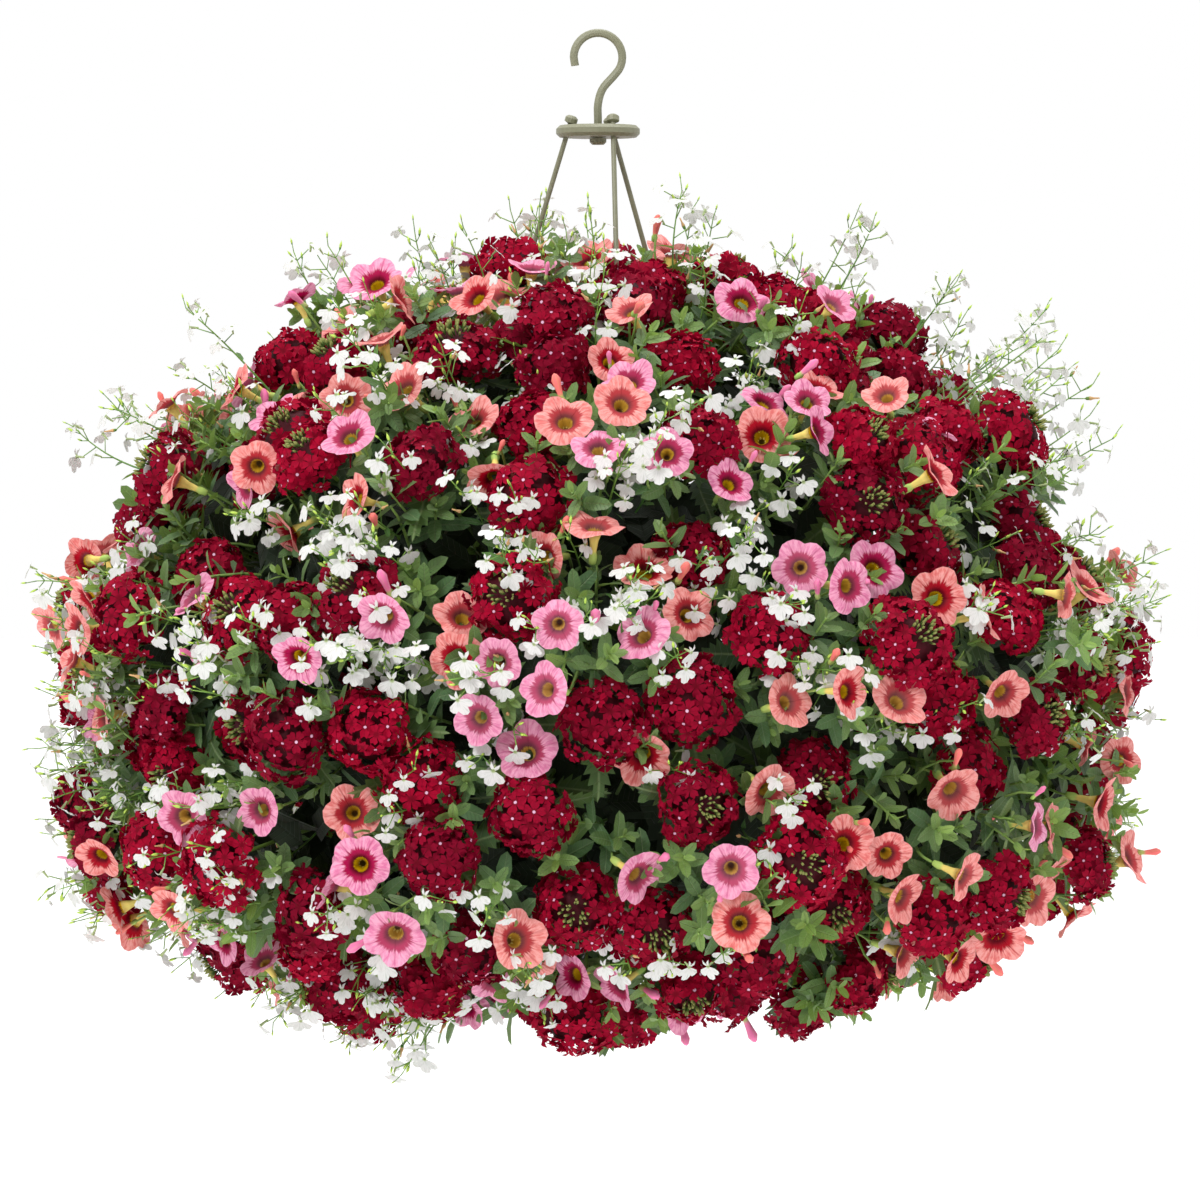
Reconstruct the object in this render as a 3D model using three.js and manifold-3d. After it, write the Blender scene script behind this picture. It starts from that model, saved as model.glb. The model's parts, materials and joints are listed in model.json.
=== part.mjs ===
// A mixed hanging basket: a round pot on three straight hanger rods, filled with potting mix and
// planted with verbena, calibrachoa and lobelia, whose shoots cover the pot on every side.
// Millimetres, +Z up. The origin is where the hook bears on the bracket that it hangs from, and
// the front faces -Y. Azimuths are measured from the front, positive towards +X.
import * as THREE from "three";
import { mergeVertices } from "three/addons/utils/BufferGeometryUtils.js";
import Module from "manifold-3d";

const wasm = await Module();
wasm.setup();

const GAP = 0.4; // clearance between pieces that touch

// Hook: a round bar bent over the bracket, whose shank hangs the hub
const HOOK_BAR_R = 2.5;
const HOOK_INNER_R = 12;
const HOOK_TIP_DEG = 200;
const HOOK_NECK_DEG = -50;
const HOOK_ARC_STEP_DEG = 25;
const SHANK_TOP_Z = -40;
const NECK_BEND = { x: 2.6, z: -31 }; // where the shank leans out towards the arc
const HOOK_BEAD_R = 5;
const HOOK_BEAD_H = 4;

// Hub and rods: each rod is threaded through the hub and a lug on the pot, with a bead at each end
const HUB_Z = -56;
const HUB_R = 25;
const HUB_H = 7;
const ROD_R = 1.5;
const ROD_BEAD_R = 3.8;
const ROD_BEAD_H = 4;
const ROD_SHOULDER = 2;
const ROD_HUB_RADIUS = 18;
const ROD_RIM_RADIUS = 129;
const ROD_HUB_AZIMUTHS = [-90, 30, 150];
const ROD_TWIST_DEG = -22.5; // how far each rod runs round on its way down

// Pot: a tapered shell with a square lip and three lugs
const RIM_Z = -380;
const RIM_R = 124;
const LIP_H = 16;
const POT_TOP_R = 117;
const POT_BASE_R = 88;
const POT_H = 165;
const WALL = 2.5;
const LUG = { width: 16, depth: 12, height: 12 };
const DRAIN_R = 6;
const DRAIN_RING_R = 52;
const DRAIN_COUNT = 6;
const SOIL_BELOW_RIM = 12;
const SOIL_CROWN = 5; // how much higher the mix is at the middle

// Plants: a rounded mass about a centre just under the soil line, flatter below than above
const MASS_CENTRE_Z = -400;
const MASS_R = 326;
const MASS_TOP = 277;
const MASS_BOTTOM = 226;
const LOWER_SQUARENESS = 2.5;
const STEM_R = 2.4;
const STEM_STEPS = 4; // rings on a straight stem
const STEPS_A_BEND = 2; // further rings for each point that a stem bends over
const STEM_RISE = 22; // how high a stem stands over the soil before it bends
const SHOOT_SIDES = 10;
const FOOTPRINT_FILL = 0.965; // share of its cell that a shoot fills
const FOOTPRINT_ROUNDNESS = 3.2;
const LUMP = 0.022; // how uneven a crown is, as a share of its distance from the centre

// A crown's rings from its outer pole inwards: share of the footprint, share of the mass radius
const CROWN_RINGS = [
  [0, 1.025],
  [0.42, 1.012],
  [0.78, 0.975],
  [1, 0.915],
  [1, 0.78],
  [0.6, 0.66],
];
const CROWN_BASE = 0.6;

// Tiers of shoots from the top down. Each letter of plants is one shoot, going round from the
// first azimuth; root is how far from the axis its stem leaves the soil, and over lists points
// that a stem bends over on its way to the rim's outside, as distance from the axis and height
// above the mass centre.
const RIM_BEND = [[168, 12], [148, 47], [115, 49]];
const SKIRT_BEND = [[148, -50], [150, 5], [136, 33], [117, 33]];
const TIERS = [
  { from: 3, to: 23, first: 70, root: 22, over: [], plants: "VCL" },
  { from: 23, to: 46, first: 1, root: 44, over: [[60, 90]], plants: "CVVLVCLP" },
  { from: 46, to: 69, first: 2.5, root: 66, over: [[98, 84]], plants: "PVLVPLVVCV" },
  { from: 69, to: 92, first: -2, root: 84, over: [[148, 74], [102, 64]], plants: "LCVLVCPVPCVL" },
  { from: 92, to: 117, first: 15, root: 98, over: RIM_BEND, plants: "VVCVLCVCPLVV" },
  { from: 117, to: 143, first: 1, root: 111, over: SKIRT_BEND, plants: "PVCVLVVL" },
];
const PLANTS = {
  V: { name: "verbena", colour: 0x8e0f24 },
  C: { name: "calibrachoa_coral", colour: 0xef8e7c },
  P: { name: "calibrachoa_pink", colour: 0xe98aac },
  L: { name: "lobelia", colour: 0xf0f1ec },
};

const HOLDER = new THREE.MeshStandardMaterial({ color: 0x77775f, roughness: 0.5, metalness: 0 });
const POT = new THREE.MeshStandardMaterial({ color: 0x3c4a36, roughness: 0.55, metalness: 0 });
const SOIL = new THREE.MeshStandardMaterial({ color: 0x33241a, roughness: 0.95, metalness: 0 });
for (const plant of Object.values(PLANTS))
  plant.material = new THREE.MeshStandardMaterial({
    color: plant.colour,
    roughness: 0.8,
    metalness: 0,
  });

// A point at a distance from the axis, an azimuth in degrees and a height
function around(radius, azimuth, z) {
  const a = THREE.MathUtils.degToRad(azimuth);
  return new THREE.Vector3(radius * Math.sin(a), -radius * Math.cos(a), z);
}

function piece(name, geometry, material) {
  const mesh = new THREE.Mesh(geometry, material);
  mesh.name = name;
  return mesh;
}

// A closed geometry as a manifold-3d solid
function solidOf(geometry) {
  const flat = geometry.index ? geometry.toNonIndexed() : geometry.clone();
  flat.deleteAttribute("normal");
  flat.deleteAttribute("uv");
  const merged = mergeVertices(flat, 1e-4);
  return new wasm.Manifold(
    new wasm.Mesh({
      numProp: 3,
      vertProperties: merged.attributes.position.array,
      triVerts: new Uint32Array(merged.index.array),
    }),
  );
}

function geometryOf(solid) {
  const { vertProperties, triVerts } = solid.getMesh();
  return new THREE.BufferGeometry()
    .setAttribute("position", new THREE.BufferAttribute(vertProperties, 3))
    .setIndex(new THREE.BufferAttribute(triVerts, 1));
}

// A lathe round +Z from [radius, z] pairs that start and end on the axis, lowest first
function turned(profile, segments) {
  const points = profile.map(([r, z]) => new THREE.Vector2(r, z));
  return new THREE.LatheGeometry(points, segments).rotateX(Math.PI / 2);
}

// Turns a geometry made along +Z to run along a direction, from a starting point
function laidAlong(geometry, start, direction) {
  const turn = new THREE.Quaternion().setFromUnitVectors(new THREE.Vector3(0, 0, 1), direction);
  return geometry.applyQuaternion(turn).translate(start.x, start.y, start.z);
}

// Where a rod crosses the middle of the hub and the middle of its lug, and its direction upwards
function rodLine(azimuth) {
  const hub = around(ROD_HUB_RADIUS, azimuth, HUB_Z);
  const lug = around(ROD_RIM_RADIUS, azimuth + ROD_TWIST_DEG, RIM_Z - LUG.height / 2);
  return { hub, lug, up: hub.clone().sub(lug).normalize() };
}

// A plain round bar on a rod's line, past both of its ends
function rodBore(azimuth, radius) {
  const { hub, lug, up } = rodLine(azimuth);
  const reach = 20;
  const length = hub.distanceTo(lug) + 2 * reach;
  const bar = turned([[0, 0], [radius, 0], [radius, length], [0, length]], 16);
  return solidOf(laidAlong(bar, lug.clone().addScaledVector(up, -reach), up));
}

function rodGeometry(azimuth) {
  const { hub, lug, up } = rodLine(azimuth);
  const beadRun = ROD_SHOULDER + ROD_BEAD_H;
  const below = LUG.height / 2 / up.z + beadRun;
  const above = HUB_H / 2 / up.z + beadRun;
  const length = hub.distanceTo(lug) + below + above;
  const bead = [
    [0, 0],
    [0.6 * ROD_BEAD_R, 0],
    [ROD_BEAD_R, 1.2],
    [ROD_BEAD_R, ROD_BEAD_H],
    [ROD_R, ROD_BEAD_H + 0.5 * ROD_SHOULDER],
  ];
  const top = bead.map(([r, z]) => [r, length - z]).reverse();
  return laidAlong(turned([...bead, ...top], 12), lug.clone().addScaledVector(up, -below), up);
}

function hubGeometry() {
  const half = HUB_H / 2;
  const profile = [
    [0, -half],
    [HUB_R - 2, -half],
    [HUB_R, -half + 2],
    [HUB_R, half - 2],
    [HUB_R - 2, half],
    [0, half],
  ];
  let hub = solidOf(turned(profile, 36).translate(0, 0, HUB_Z));
  const bore = HOOK_BAR_R + GAP;
  const shaft = [[0, HUB_Z - HUB_H], [bore, HUB_Z - HUB_H], [bore, HUB_Z + HUB_H], [0, HUB_Z + HUB_H]];
  hub = hub.subtract(solidOf(turned(shaft, 16)));
  for (const azimuth of ROD_HUB_AZIMUTHS) hub = hub.subtract(rodBore(azimuth, ROD_R + GAP));
  return geometryOf(hub);
}

// The hook's centre line: a straight shank, a neck out to one side and an arc over the bracket
function hookPath(shankZ) {
  const centreR = HOOK_INNER_R + HOOK_BAR_R;
  const points = [shankZ, HUB_Z - HUB_H, HUB_Z + HUB_H, SHANK_TOP_Z].map((z) => new THREE.Vector3(0, 0, z));
  points.push(new THREE.Vector3(NECK_BEND.x, 0, NECK_BEND.z));
  for (let deg = HOOK_NECK_DEG; deg <= HOOK_TIP_DEG; deg += HOOK_ARC_STEP_DEG) {
    const a = THREE.MathUtils.degToRad(deg);
    points.push(new THREE.Vector3(centreR * Math.cos(a), 0, centreR * Math.sin(a) - HOOK_INNER_R));
  }
  return new THREE.CatmullRomCurve3(points, false, "centripetal");
}

function hookGeometry() {
  const shankZ = HUB_Z - HUB_H / 2 - GAP - HOOK_BEAD_H + 0.5;
  const section = new THREE.Shape().absarc(0, 0, HOOK_BAR_R, 0, 2 * Math.PI, false);
  const bar = new THREE.ExtrudeGeometry(section, {
    steps: 40,
    curveSegments: 5,
    bevelEnabled: false,
    extrudePath: hookPath(shankZ),
  });
  const top = shankZ + HOOK_BEAD_H - 0.5;
  const low = top - HOOK_BEAD_H;
  const round = [[HOOK_BEAD_R - 1.5, low], [HOOK_BEAD_R, low + 1.5], [HOOK_BEAD_R, top]];
  const bead = turned([[0, low], ...round, [0, top]], 16);
  return geometryOf(solidOf(bar).add(solidOf(bead)));
}

// Distance from the axis to the pot's outer face at a height
function potRadius(z) {
  const down = (RIM_Z - LIP_H - z) / (POT_H - LIP_H);
  return THREE.MathUtils.lerp(POT_TOP_R, POT_BASE_R, THREE.MathUtils.clamp(down, 0, 1));
}

function potGeometry() {
  const baseZ = RIM_Z - POT_H;
  const profile = [
    [0, baseZ],
    [POT_BASE_R, baseZ],
    [POT_TOP_R, RIM_Z - LIP_H],
    [RIM_R, RIM_Z - LIP_H],
    [RIM_R, RIM_Z],
    [RIM_R - WALL, RIM_Z],
    [RIM_R - WALL, RIM_Z - LIP_H + WALL],
    [POT_TOP_R - WALL, RIM_Z - LIP_H + WALL],
    [POT_BASE_R - WALL, baseZ + WALL],
    [0, baseZ + WALL],
  ];
  let pot = solidOf(turned(profile, 48));
  for (const azimuth of ROD_HUB_AZIMUTHS) {
    const lug = new THREE.BoxGeometry(LUG.width, LUG.depth, LUG.height);
    lug.translate(0, -ROD_RIM_RADIUS, RIM_Z - LUG.height / 2);
    lug.rotateZ(THREE.MathUtils.degToRad(azimuth + ROD_TWIST_DEG));
    pot = pot.add(solidOf(lug)).subtract(rodBore(azimuth, ROD_R + GAP));
  }
  const drain = [[0, baseZ - 5], [DRAIN_R, baseZ - 5], [DRAIN_R, baseZ + 5], [0, baseZ + 5]];
  for (let k = 0; k < DRAIN_COUNT; k++) {
    const spot = around(DRAIN_RING_R, (k * 360) / DRAIN_COUNT, 0);
    pot = pot.subtract(solidOf(turned(drain, 12).translate(spot.x, spot.y, 0)));
  }
  return geometryOf(pot);
}

function soilGeometry() {
  const floorZ = RIM_Z - POT_H + WALL + GAP;
  const edgeZ = RIM_Z - SOIL_BELOW_RIM;
  const inset = WALL + 2 * GAP;
  const shoulderZ = RIM_Z - LIP_H + WALL + GAP;
  const profile = [
    [0, floorZ],
    [potRadius(floorZ) - inset, floorZ],
    [POT_TOP_R - inset, shoulderZ - 2],
    [POT_TOP_R - inset, edgeZ - 0.2],
    [0.6 * POT_TOP_R, edgeZ + 0.7 * SOIL_CROWN],
    [0, edgeZ + SOIL_CROWN],
  ];
  return turned(profile, 40);
}

// Height of the soil's surface at a distance from the axis
function soilHeight(radius) {
  const edgeZ = RIM_Z - SOIL_BELOW_RIM;
  return edgeZ + SOIL_CROWN * (1 - (radius / POT_TOP_R) ** 2);
}

// Distance from the mass centre to the outside of the planting, at an angle from straight up
function massRadius(polar) {
  const across = Math.abs(Math.sin(polar)) / MASS_R;
  const lower = Math.cos(polar) < 0;
  const along = Math.abs(Math.cos(polar)) / (lower ? MASS_BOTTOM : MASS_TOP);
  const power = lower ? LOWER_SQUARENESS : 2;
  return (across ** power + along ** power) ** (-1 / power);
}

// A point at a share of the mass radius, in a direction given in degrees from straight up
function massPoint(polar, azimuth, share) {
  const p = THREE.MathUtils.degToRad(polar);
  const r = share * massRadius(p);
  return around(r * Math.sin(p), azimuth, MASS_CENTRE_Z + r * Math.cos(p));
}

// One point of a crown's ring, at turn radians round it
function crownPoint(cell, [share, depth], turn) {
  const [c, s] = [Math.cos(turn), Math.sin(turn)];
  const n = FOOTPRINT_ROUNDNESS;
  const out = (FOOTPRINT_FILL * share) / (Math.abs(c) ** n + Math.abs(s) ** n) ** (1 / n);
  const lumps = 1 + LUMP * share * Math.sin(3 * turn + cell.azimuth);
  const polar = cell.polar + c * out * cell.halfPolar;
  return massPoint(polar, cell.azimuth + s * out * cell.halfAzimuth, depth * lumps);
}

// A stem's centre line, in the upright plane of its azimuth, from the crown down to the soil
function stemLine(cell) {
  const start = massPoint(cell.polar, 0, CROWN_BASE);
  const bends = cell.over.map(([r, h]) => new THREE.Vector3(0, -r, MASS_CENTRE_Z + h));
  const above = new THREE.Vector3(0, -cell.root, soilHeight(cell.root) + STEM_RISE);
  const root = new THREE.Vector3(0, -cell.root, soilHeight(cell.root) + GAP);
  return new THREE.CatmullRomCurve3([start, ...bends, above, root], false, "centripetal");
}

// One point of a stem's ring at a share of its length, turned to the shoot's azimuth
function stemPoint(cell, line, share, radius, turn) {
  const along = line.getTangentAt(share);
  const sideways = new THREE.Vector3(1, 0, 0);
  const inPlane = new THREE.Vector3().crossVectors(along, sideways);
  return line
    .getPointAt(share)
    .addScaledVector(inPlane, radius * Math.cos(turn))
    .addScaledVector(sideways, radius * Math.sin(turn))
    .applyAxisAngle(new THREE.Vector3(0, 0, 1), THREE.MathUtils.degToRad(cell.azimuth));
}

// A shoot as one closed lathe whose rings are laid out from the crown's outer pole to the root
function shootGeometry(cell) {
  const line = stemLine(cell);
  const places = CROWN_RINGS.map((ring) => (turn) => crownPoint(cell, ring, turn));
  const steps = STEM_STEPS + STEPS_A_BEND * cell.over.length;
  for (let k = 0; k < steps; k++)
    places.push((turn) => stemPoint(cell, line, k / (steps - 1), STEM_R, turn));
  places.push(() => stemPoint(cell, line, 1, 0, 0));
  const blank = new THREE.LatheGeometry(places.map((_, i) => new THREE.Vector2(1, i)), SHOOT_SIDES);
  const position = blank.getAttribute("position");
  for (let side = 0; side <= SHOOT_SIDES; side++) {
    const turn = (-2 * Math.PI * (side % SHOOT_SIDES)) / SHOOT_SIDES;
    places.forEach((place, ring) => {
      const p = place(turn);
      position.setXYZ(side * places.length + ring, p.x, p.y, p.z);
    });
  }
  return blank;
}

// The cells of one tier, each with its species letter
function cellsOf(tier) {
  const step = 360 / tier.plants.length;
  return [...tier.plants].map((letter, k) => ({
    letter,
    polar: (tier.from + tier.to) / 2,
    halfPolar: (tier.to - tier.from) / 2,
    azimuth: tier.first + k * step,
    halfAzimuth: step / 2,
    root: tier.root,
    over: tier.over,
  }));
}

function addHolder(group) {
  group.add(piece("hanger_hook", hookGeometry(), HOLDER));
  group.add(piece("hanger_hub", hubGeometry(), HOLDER));
  ROD_HUB_AZIMUTHS.forEach((azimuth, k) =>
    group.add(piece(`hanger_rod_${k + 1}`, rodGeometry(azimuth), HOLDER)),
  );
  group.add(piece("pot", potGeometry(), POT));
  group.add(piece("potting_mix", soilGeometry(), SOIL));
}

// Every shoot, with a channel left in it wherever a rod runs through the planting
function addPlanting(group) {
  const channels = ROD_HUB_AZIMUTHS.map((azimuth) => rodBore(azimuth, ROD_R + 2 * GAP));
  const count = {};
  for (const cell of TIERS.flatMap(cellsOf)) {
    const { name, material } = PLANTS[cell.letter];
    count[name] = (count[name] ?? 0) + 1;
    let shoot = solidOf(shootGeometry(cell));
    for (const channel of channels) shoot = shoot.subtract(channel);
    const number = String(count[name]).padStart(2, "0");
    group.add(piece(`${name}_shoot_${number}`, geometryOf(shoot), material));
  }
}

const basket = new THREE.Group();
addHolder(basket);
addPlanting(basket);

export default basket;
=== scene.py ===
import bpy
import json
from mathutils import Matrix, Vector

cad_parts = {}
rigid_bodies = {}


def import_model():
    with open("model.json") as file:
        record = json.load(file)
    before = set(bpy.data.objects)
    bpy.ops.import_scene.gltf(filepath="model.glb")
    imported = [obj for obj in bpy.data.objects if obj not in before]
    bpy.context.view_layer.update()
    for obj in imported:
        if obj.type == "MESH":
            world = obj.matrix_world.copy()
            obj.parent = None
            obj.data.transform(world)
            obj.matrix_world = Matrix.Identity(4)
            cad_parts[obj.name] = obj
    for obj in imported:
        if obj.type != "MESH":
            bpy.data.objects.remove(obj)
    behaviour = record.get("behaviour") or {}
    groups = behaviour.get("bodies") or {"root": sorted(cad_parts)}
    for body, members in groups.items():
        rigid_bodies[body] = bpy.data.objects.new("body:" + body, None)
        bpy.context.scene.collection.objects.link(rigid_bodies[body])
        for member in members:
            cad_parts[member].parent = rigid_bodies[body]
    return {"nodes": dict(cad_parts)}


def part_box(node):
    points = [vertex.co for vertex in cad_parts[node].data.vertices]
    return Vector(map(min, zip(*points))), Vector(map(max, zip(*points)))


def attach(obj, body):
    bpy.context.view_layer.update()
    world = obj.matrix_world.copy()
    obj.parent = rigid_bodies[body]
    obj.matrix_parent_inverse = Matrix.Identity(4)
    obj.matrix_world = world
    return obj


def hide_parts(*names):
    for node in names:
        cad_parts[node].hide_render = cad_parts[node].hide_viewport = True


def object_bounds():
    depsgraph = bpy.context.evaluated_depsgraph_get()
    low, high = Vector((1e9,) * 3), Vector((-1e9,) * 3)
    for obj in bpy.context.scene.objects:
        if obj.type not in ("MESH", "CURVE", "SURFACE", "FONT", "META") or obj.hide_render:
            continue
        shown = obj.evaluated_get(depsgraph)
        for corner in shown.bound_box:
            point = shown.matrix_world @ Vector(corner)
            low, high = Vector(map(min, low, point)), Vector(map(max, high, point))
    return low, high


bl_info = {
    "name": "Mixed Hanging Basket",
    "version": (1, 0, 0),
    "blender": (4, 5, 0),
    "location": "3D View > Sidebar > Basket",
    "description": "Verbena, calibrachoa and lobelia in full bloom round a pot on three hanger rods",
    "category": "Add Mesh",
}

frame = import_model()

import functools
import json
import math
import random

import bpy
from mathutils import Matrix, Quaternion, Vector
from mathutils.bvhtree import BVHTree

MM = 0.001
UP = Vector((0, 0, 1))
GOLDEN_ANGLE = math.pi * (3 - math.sqrt(5))
CAD_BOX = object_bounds()
SHOOTS = {name: ob for name, ob in frame["nodes"].items() if "_shoot_" in name}
TILES = 4  # the shades of a leaf or petal lie in a square of this many tiles a side


# ---------------------------------------------------------------- colours and settings

def linear(code):
    """An sRGB hex colour as the linear RGBA that Blender's sockets take."""
    parts = [int(code[k : k + 2], 16) / 255 for k in (1, 3, 5)]
    curve = [c / 12.92 if c <= 0.04045 else ((c + 0.055) / 1.055) ** 2.4 for c in parts]
    return (*curve, 1.0)


def length(name, text, millimetres):
    return bpy.props.FloatProperty(
        name=name, description=text, default=millimetres * MM, min=0, unit="LENGTH", subtype="DISTANCE"
    )


def colour(name, text, code):
    return bpy.props.FloatVectorProperty(
        name=name, description=text, default=linear(code), size=4, min=0, max=1, subtype="COLOR"
    )


def angle(name, text, degrees):
    return bpy.props.FloatProperty(
        name=name, description=text, default=math.radians(degrees), unit="ROTATION", subtype="ANGLE"
    )


def count(name, text, number):
    return bpy.props.IntProperty(name=name, description=text, default=number, min=0)


class BASKET_PG_verbena(bpy.types.PropertyGroup):
    head: length("Head radius", "Radius of a full head of verbena", 24)
    floret: length("Floret radius", "Radius of one verbena floret", 6.3)
    florets: count("Florets", "Florets on one head", 50)
    dome: angle("Dome", "How far round a head its florets reach", 108)
    leaf: length("Leaf", "Length of a full verbena leaf", 42)
    petal: colour("Petal", "Crimson of a lit petal", "#b0042e")
    # Also the colour that the crease down each petal is darkened towards, as painted shade.
    shade: colour("Shade", "Crimson of an older petal", "#7a0424")
    eye: colour("Eye", "The pale middle of a fresh floret", "#e9bcd8")
    green: colour("Leaf green", "Top of a verbena leaf", "#35512f")
    light: colour("Young green", "Young leaves and bud stalks", "#6f8f3a")


class BASKET_PG_calibrachoa(bpy.types.PropertyGroup):
    flower: length("Flower radius", "Radius of an open calibrachoa flower", 15.8)
    leaf: length("Leaf", "Length of a full calibrachoa leaf", 17)
    coral: colour("Coral", "Limb of the coral kind", "#e4716e")
    coral_light: colour("Pale coral", "Between the veins of the coral kind", "#f6aba6")
    coral_eye: colour("Red eye", "Eye of the coral kind", "#ae001e")
    pink: colour("Pink", "Limb of the pink kind", "#dd74a1")
    pink_light: colour("Pale pink", "Between the veins of the pink kind", "#f2abc7")
    pink_eye: colour("Magenta eye", "Eye of the pink kind", "#a80046")
    throat: colour("Throat", "Yellow of the throat and tube", "#c8a000")
    green: colour("Leaf green", "Top of a calibrachoa leaf", "#5f8455")
    light: colour("Young green", "Young leaves at a shoot's tip", "#97b960")


class BASKET_PG_lobelia(bpy.types.PropertyGroup):
    flower: length("Flower length", "Length of a lobelia flower's lower lip", 8.6)
    leaf: length("Leaf", "Length of a lobelia leaf", 16)
    petal: colour("Petal", "White of the petals", "#dededc")
    # Painted shade: the grey that the creases and the throat are drawn towards.
    vein: colour("Petal shade", "Grey of the creases and the throat", "#b4b9b0")
    stem: colour("Stem", "Green of a stem", "#4f8339")
    bud: colour("Bud", "Lime green of a bud", "#b4cf5c")
    spent: colour("Spent flower", "Tan of a flower that is over", "#c49a6c")


class BASKET_PG_holder(bpy.types.PropertyGroup):
    rod: colour("Hanger", "Coated hanger rods, hub and hook", "#74745c")
    pot: colour("Pot", "Moulded pot", "#3c4a36")
    mix: colour("Potting mix", "Damp peat and bark", "#2e2018")


class BASKET_PG_stage(bpy.types.PropertyGroup):
    distance: length("Camera distance", "From the camera to the middle of the basket", 2700)
    width: length("View width", "Width that the view takes in at the basket", 720)
    elevation: angle("Camera elevation", "How far above level the camera stands", 3)
    floor_drop: length("Floor drop", "How far the floor lies below the basket", 600)


GROUPS = {
    "basket_verbena": BASKET_PG_verbena,
    "basket_calibrachoa": BASKET_PG_calibrachoa,
    "basket_lobelia": BASKET_PG_lobelia,
    "basket_holder": BASKET_PG_holder,
    "basket_stage": BASKET_PG_stage,
}


# ---------------------------------------------------------------- node trees

def node(tree, kind, *values, **settings):
    """Adds a node with its settings, and its mode where the kind has one after a colon.

    The values are plain ones or other nodes' sockets. They go to the inputs in use, in order, or
    come as a dictionary by the inputs' names or numbers.
    """
    kind, _, mode = kind.partition(":")
    made = tree.nodes.new(kind)
    if mode:
        keys = ("operation", "interpolation_type", "data_type")
        setattr(made, next(key for key in keys if hasattr(made, key)), mode)
    for key, value in settings.items():
        setattr(made, key, value)
    if values and isinstance(values[0], dict):
        pairs = [(made.inputs[key], value) for key, value in values[0].items()]
    else:
        pairs = zip([socket for socket in made.inputs if socket.enabled], values)
    for socket, value in pairs:
        if isinstance(value, bpy.types.NodeSocket):
            tree.links.new(value, socket)
        else:
            socket.default_value = value
    return made


def new_tree(name, sockets):
    """An empty geometry tree with a geometry input and output and the given named inputs."""
    tree = bpy.data.node_groups.new(name, "GeometryNodeTree")
    tree.interface.new_socket("Geometry", in_out="INPUT", socket_type="NodeSocketGeometry")
    tree.interface.new_socket("Geometry", in_out="OUTPUT", socket_type="NodeSocketGeometry")
    for label, kind in sockets.items():
        tree.interface.new_socket(label, in_out="INPUT", socket_type="NodeSocket" + kind)
    return tree


def applied(ob, tree, values):
    """Runs a geometry tree on an object and leaves its result there as a plain mesh."""
    modifier = ob.modifiers.new(tree.name, "NODES")
    modifier.node_group = tree
    for item in tree.interface.items_tree:
        if item.in_out == "INPUT" and item.name in values:
            modifier[item.identifier] = values[item.name]
    bpy.context.view_layer.update()
    graph = bpy.context.evaluated_depsgraph_get()
    mesh = bpy.data.meshes.new_from_object(
        ob.evaluated_get(graph), preserve_all_data_layers=True, depsgraph=graph
    )
    ob.modifiers.clear()
    ob.data = mesh
    mesh.name = ob.name
    return ob


def place_shapes(tree, points, turn, size, source, material):
    """Adds the end of a tree: one of the shapes on each point, with its tile's UV maps."""
    pick = node(tree, "FunctionNodeRandomValue", {4: 0, 5: 99, 8: 7}, data_type="INT")
    shapes = node(
        tree,
        "GeometryNodeCollectionInfo",
        {"Collection": source.outputs["Shapes"], "Separate Children": True, "Reset Children": True},
    )
    copies = node(
        tree,
        "GeometryNodeInstanceOnPoints",
        {
            "Points": points,
            "Instance": shapes.outputs[0],
            "Pick Instance": True,
            "Instance Index": pick.outputs[2],
            "Rotation": turn,
            "Scale": size,
        },
    )
    real = node(tree, "GeometryNodeRealizeInstances", {"Geometry": copies.outputs[0]})
    tile = node(tree, "GeometryNodeInputNamedAttribute", {"Name": "tile"}, data_type="INT")
    column = node(tree, "ShaderNodeMath:MODULO", tile.outputs[0], TILES)
    row = node(tree, "ShaderNodeMath:DIVIDE", tile.outputs[0], TILES)
    floor = node(tree, "ShaderNodeMath:FLOOR", row.outputs[0])
    corner = node(tree, "ShaderNodeCombineXYZ", column.outputs[0], floor.outputs[0])
    flat = node(tree, "GeometryNodeInputNamedAttribute", {"Name": "shape"}, data_type="FLOAT_VECTOR")
    moved = node(tree, "ShaderNodeVectorMath:ADD", flat.outputs[0], corner.outputs[0])
    scaled = node(tree, "ShaderNodeVectorMath:SCALE", moved.outputs[0], 1 / TILES)
    last = real.outputs[0]
    for name in ("surface", "OFBake"):
        last = node(
            tree,
            "GeometryNodeStoreNamedAttribute",
            {"Geometry": last, "Name": name, "Value": scaled.outputs[0]},
            data_type="FLOAT2",
            domain="CORNER",
        ).outputs[0]
    for name in ("tile", "turn", "size", "shape", "open"):
        last = node(tree, "GeometryNodeRemoveAttribute", {"Geometry": last, "Name": name}).outputs[0]
    dressed = node(tree, "GeometryNodeSetMaterial", {"Geometry": last, "Material": material})
    return dressed.outputs[0]


def loosened(tree, turn, source):
    """Adds a random spin about each copy's own axis, then a random tilt, and gives the turn."""
    for key, axis, seed in (("Spin", (0, 0, 1), 1), ("Tilt", (1, 0, 0), 2), ("Nod", (0, 1, 0), 3)):
        low = node(tree, "ShaderNodeMath:MULTIPLY", source.outputs[key], -1.0)
        drawn = node(tree, "ShaderNodeMath:ADD", source.outputs["Seed"], seed)
        amount = node(
            tree,
            "FunctionNodeRandomValue",
            {2: low.outputs[0], 3: source.outputs[key], 8: drawn.outputs[0]},
            data_type="FLOAT",
        )
        small = node(tree, "FunctionNodeAxisAngleToRotation", {"Axis": axis, "Angle": amount.outputs[1]})
        turn = node(
            tree,
            "FunctionNodeRotateRotation",
            {"Rotation": turn, "Rotate By": small.outputs[0]},
            rotation_space="LOCAL",
        ).outputs[0]
    return turn


LOOSE = {"Spin": "Float", "Tilt": "Float", "Nod": "Float", "Seed": "Int"}


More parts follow.
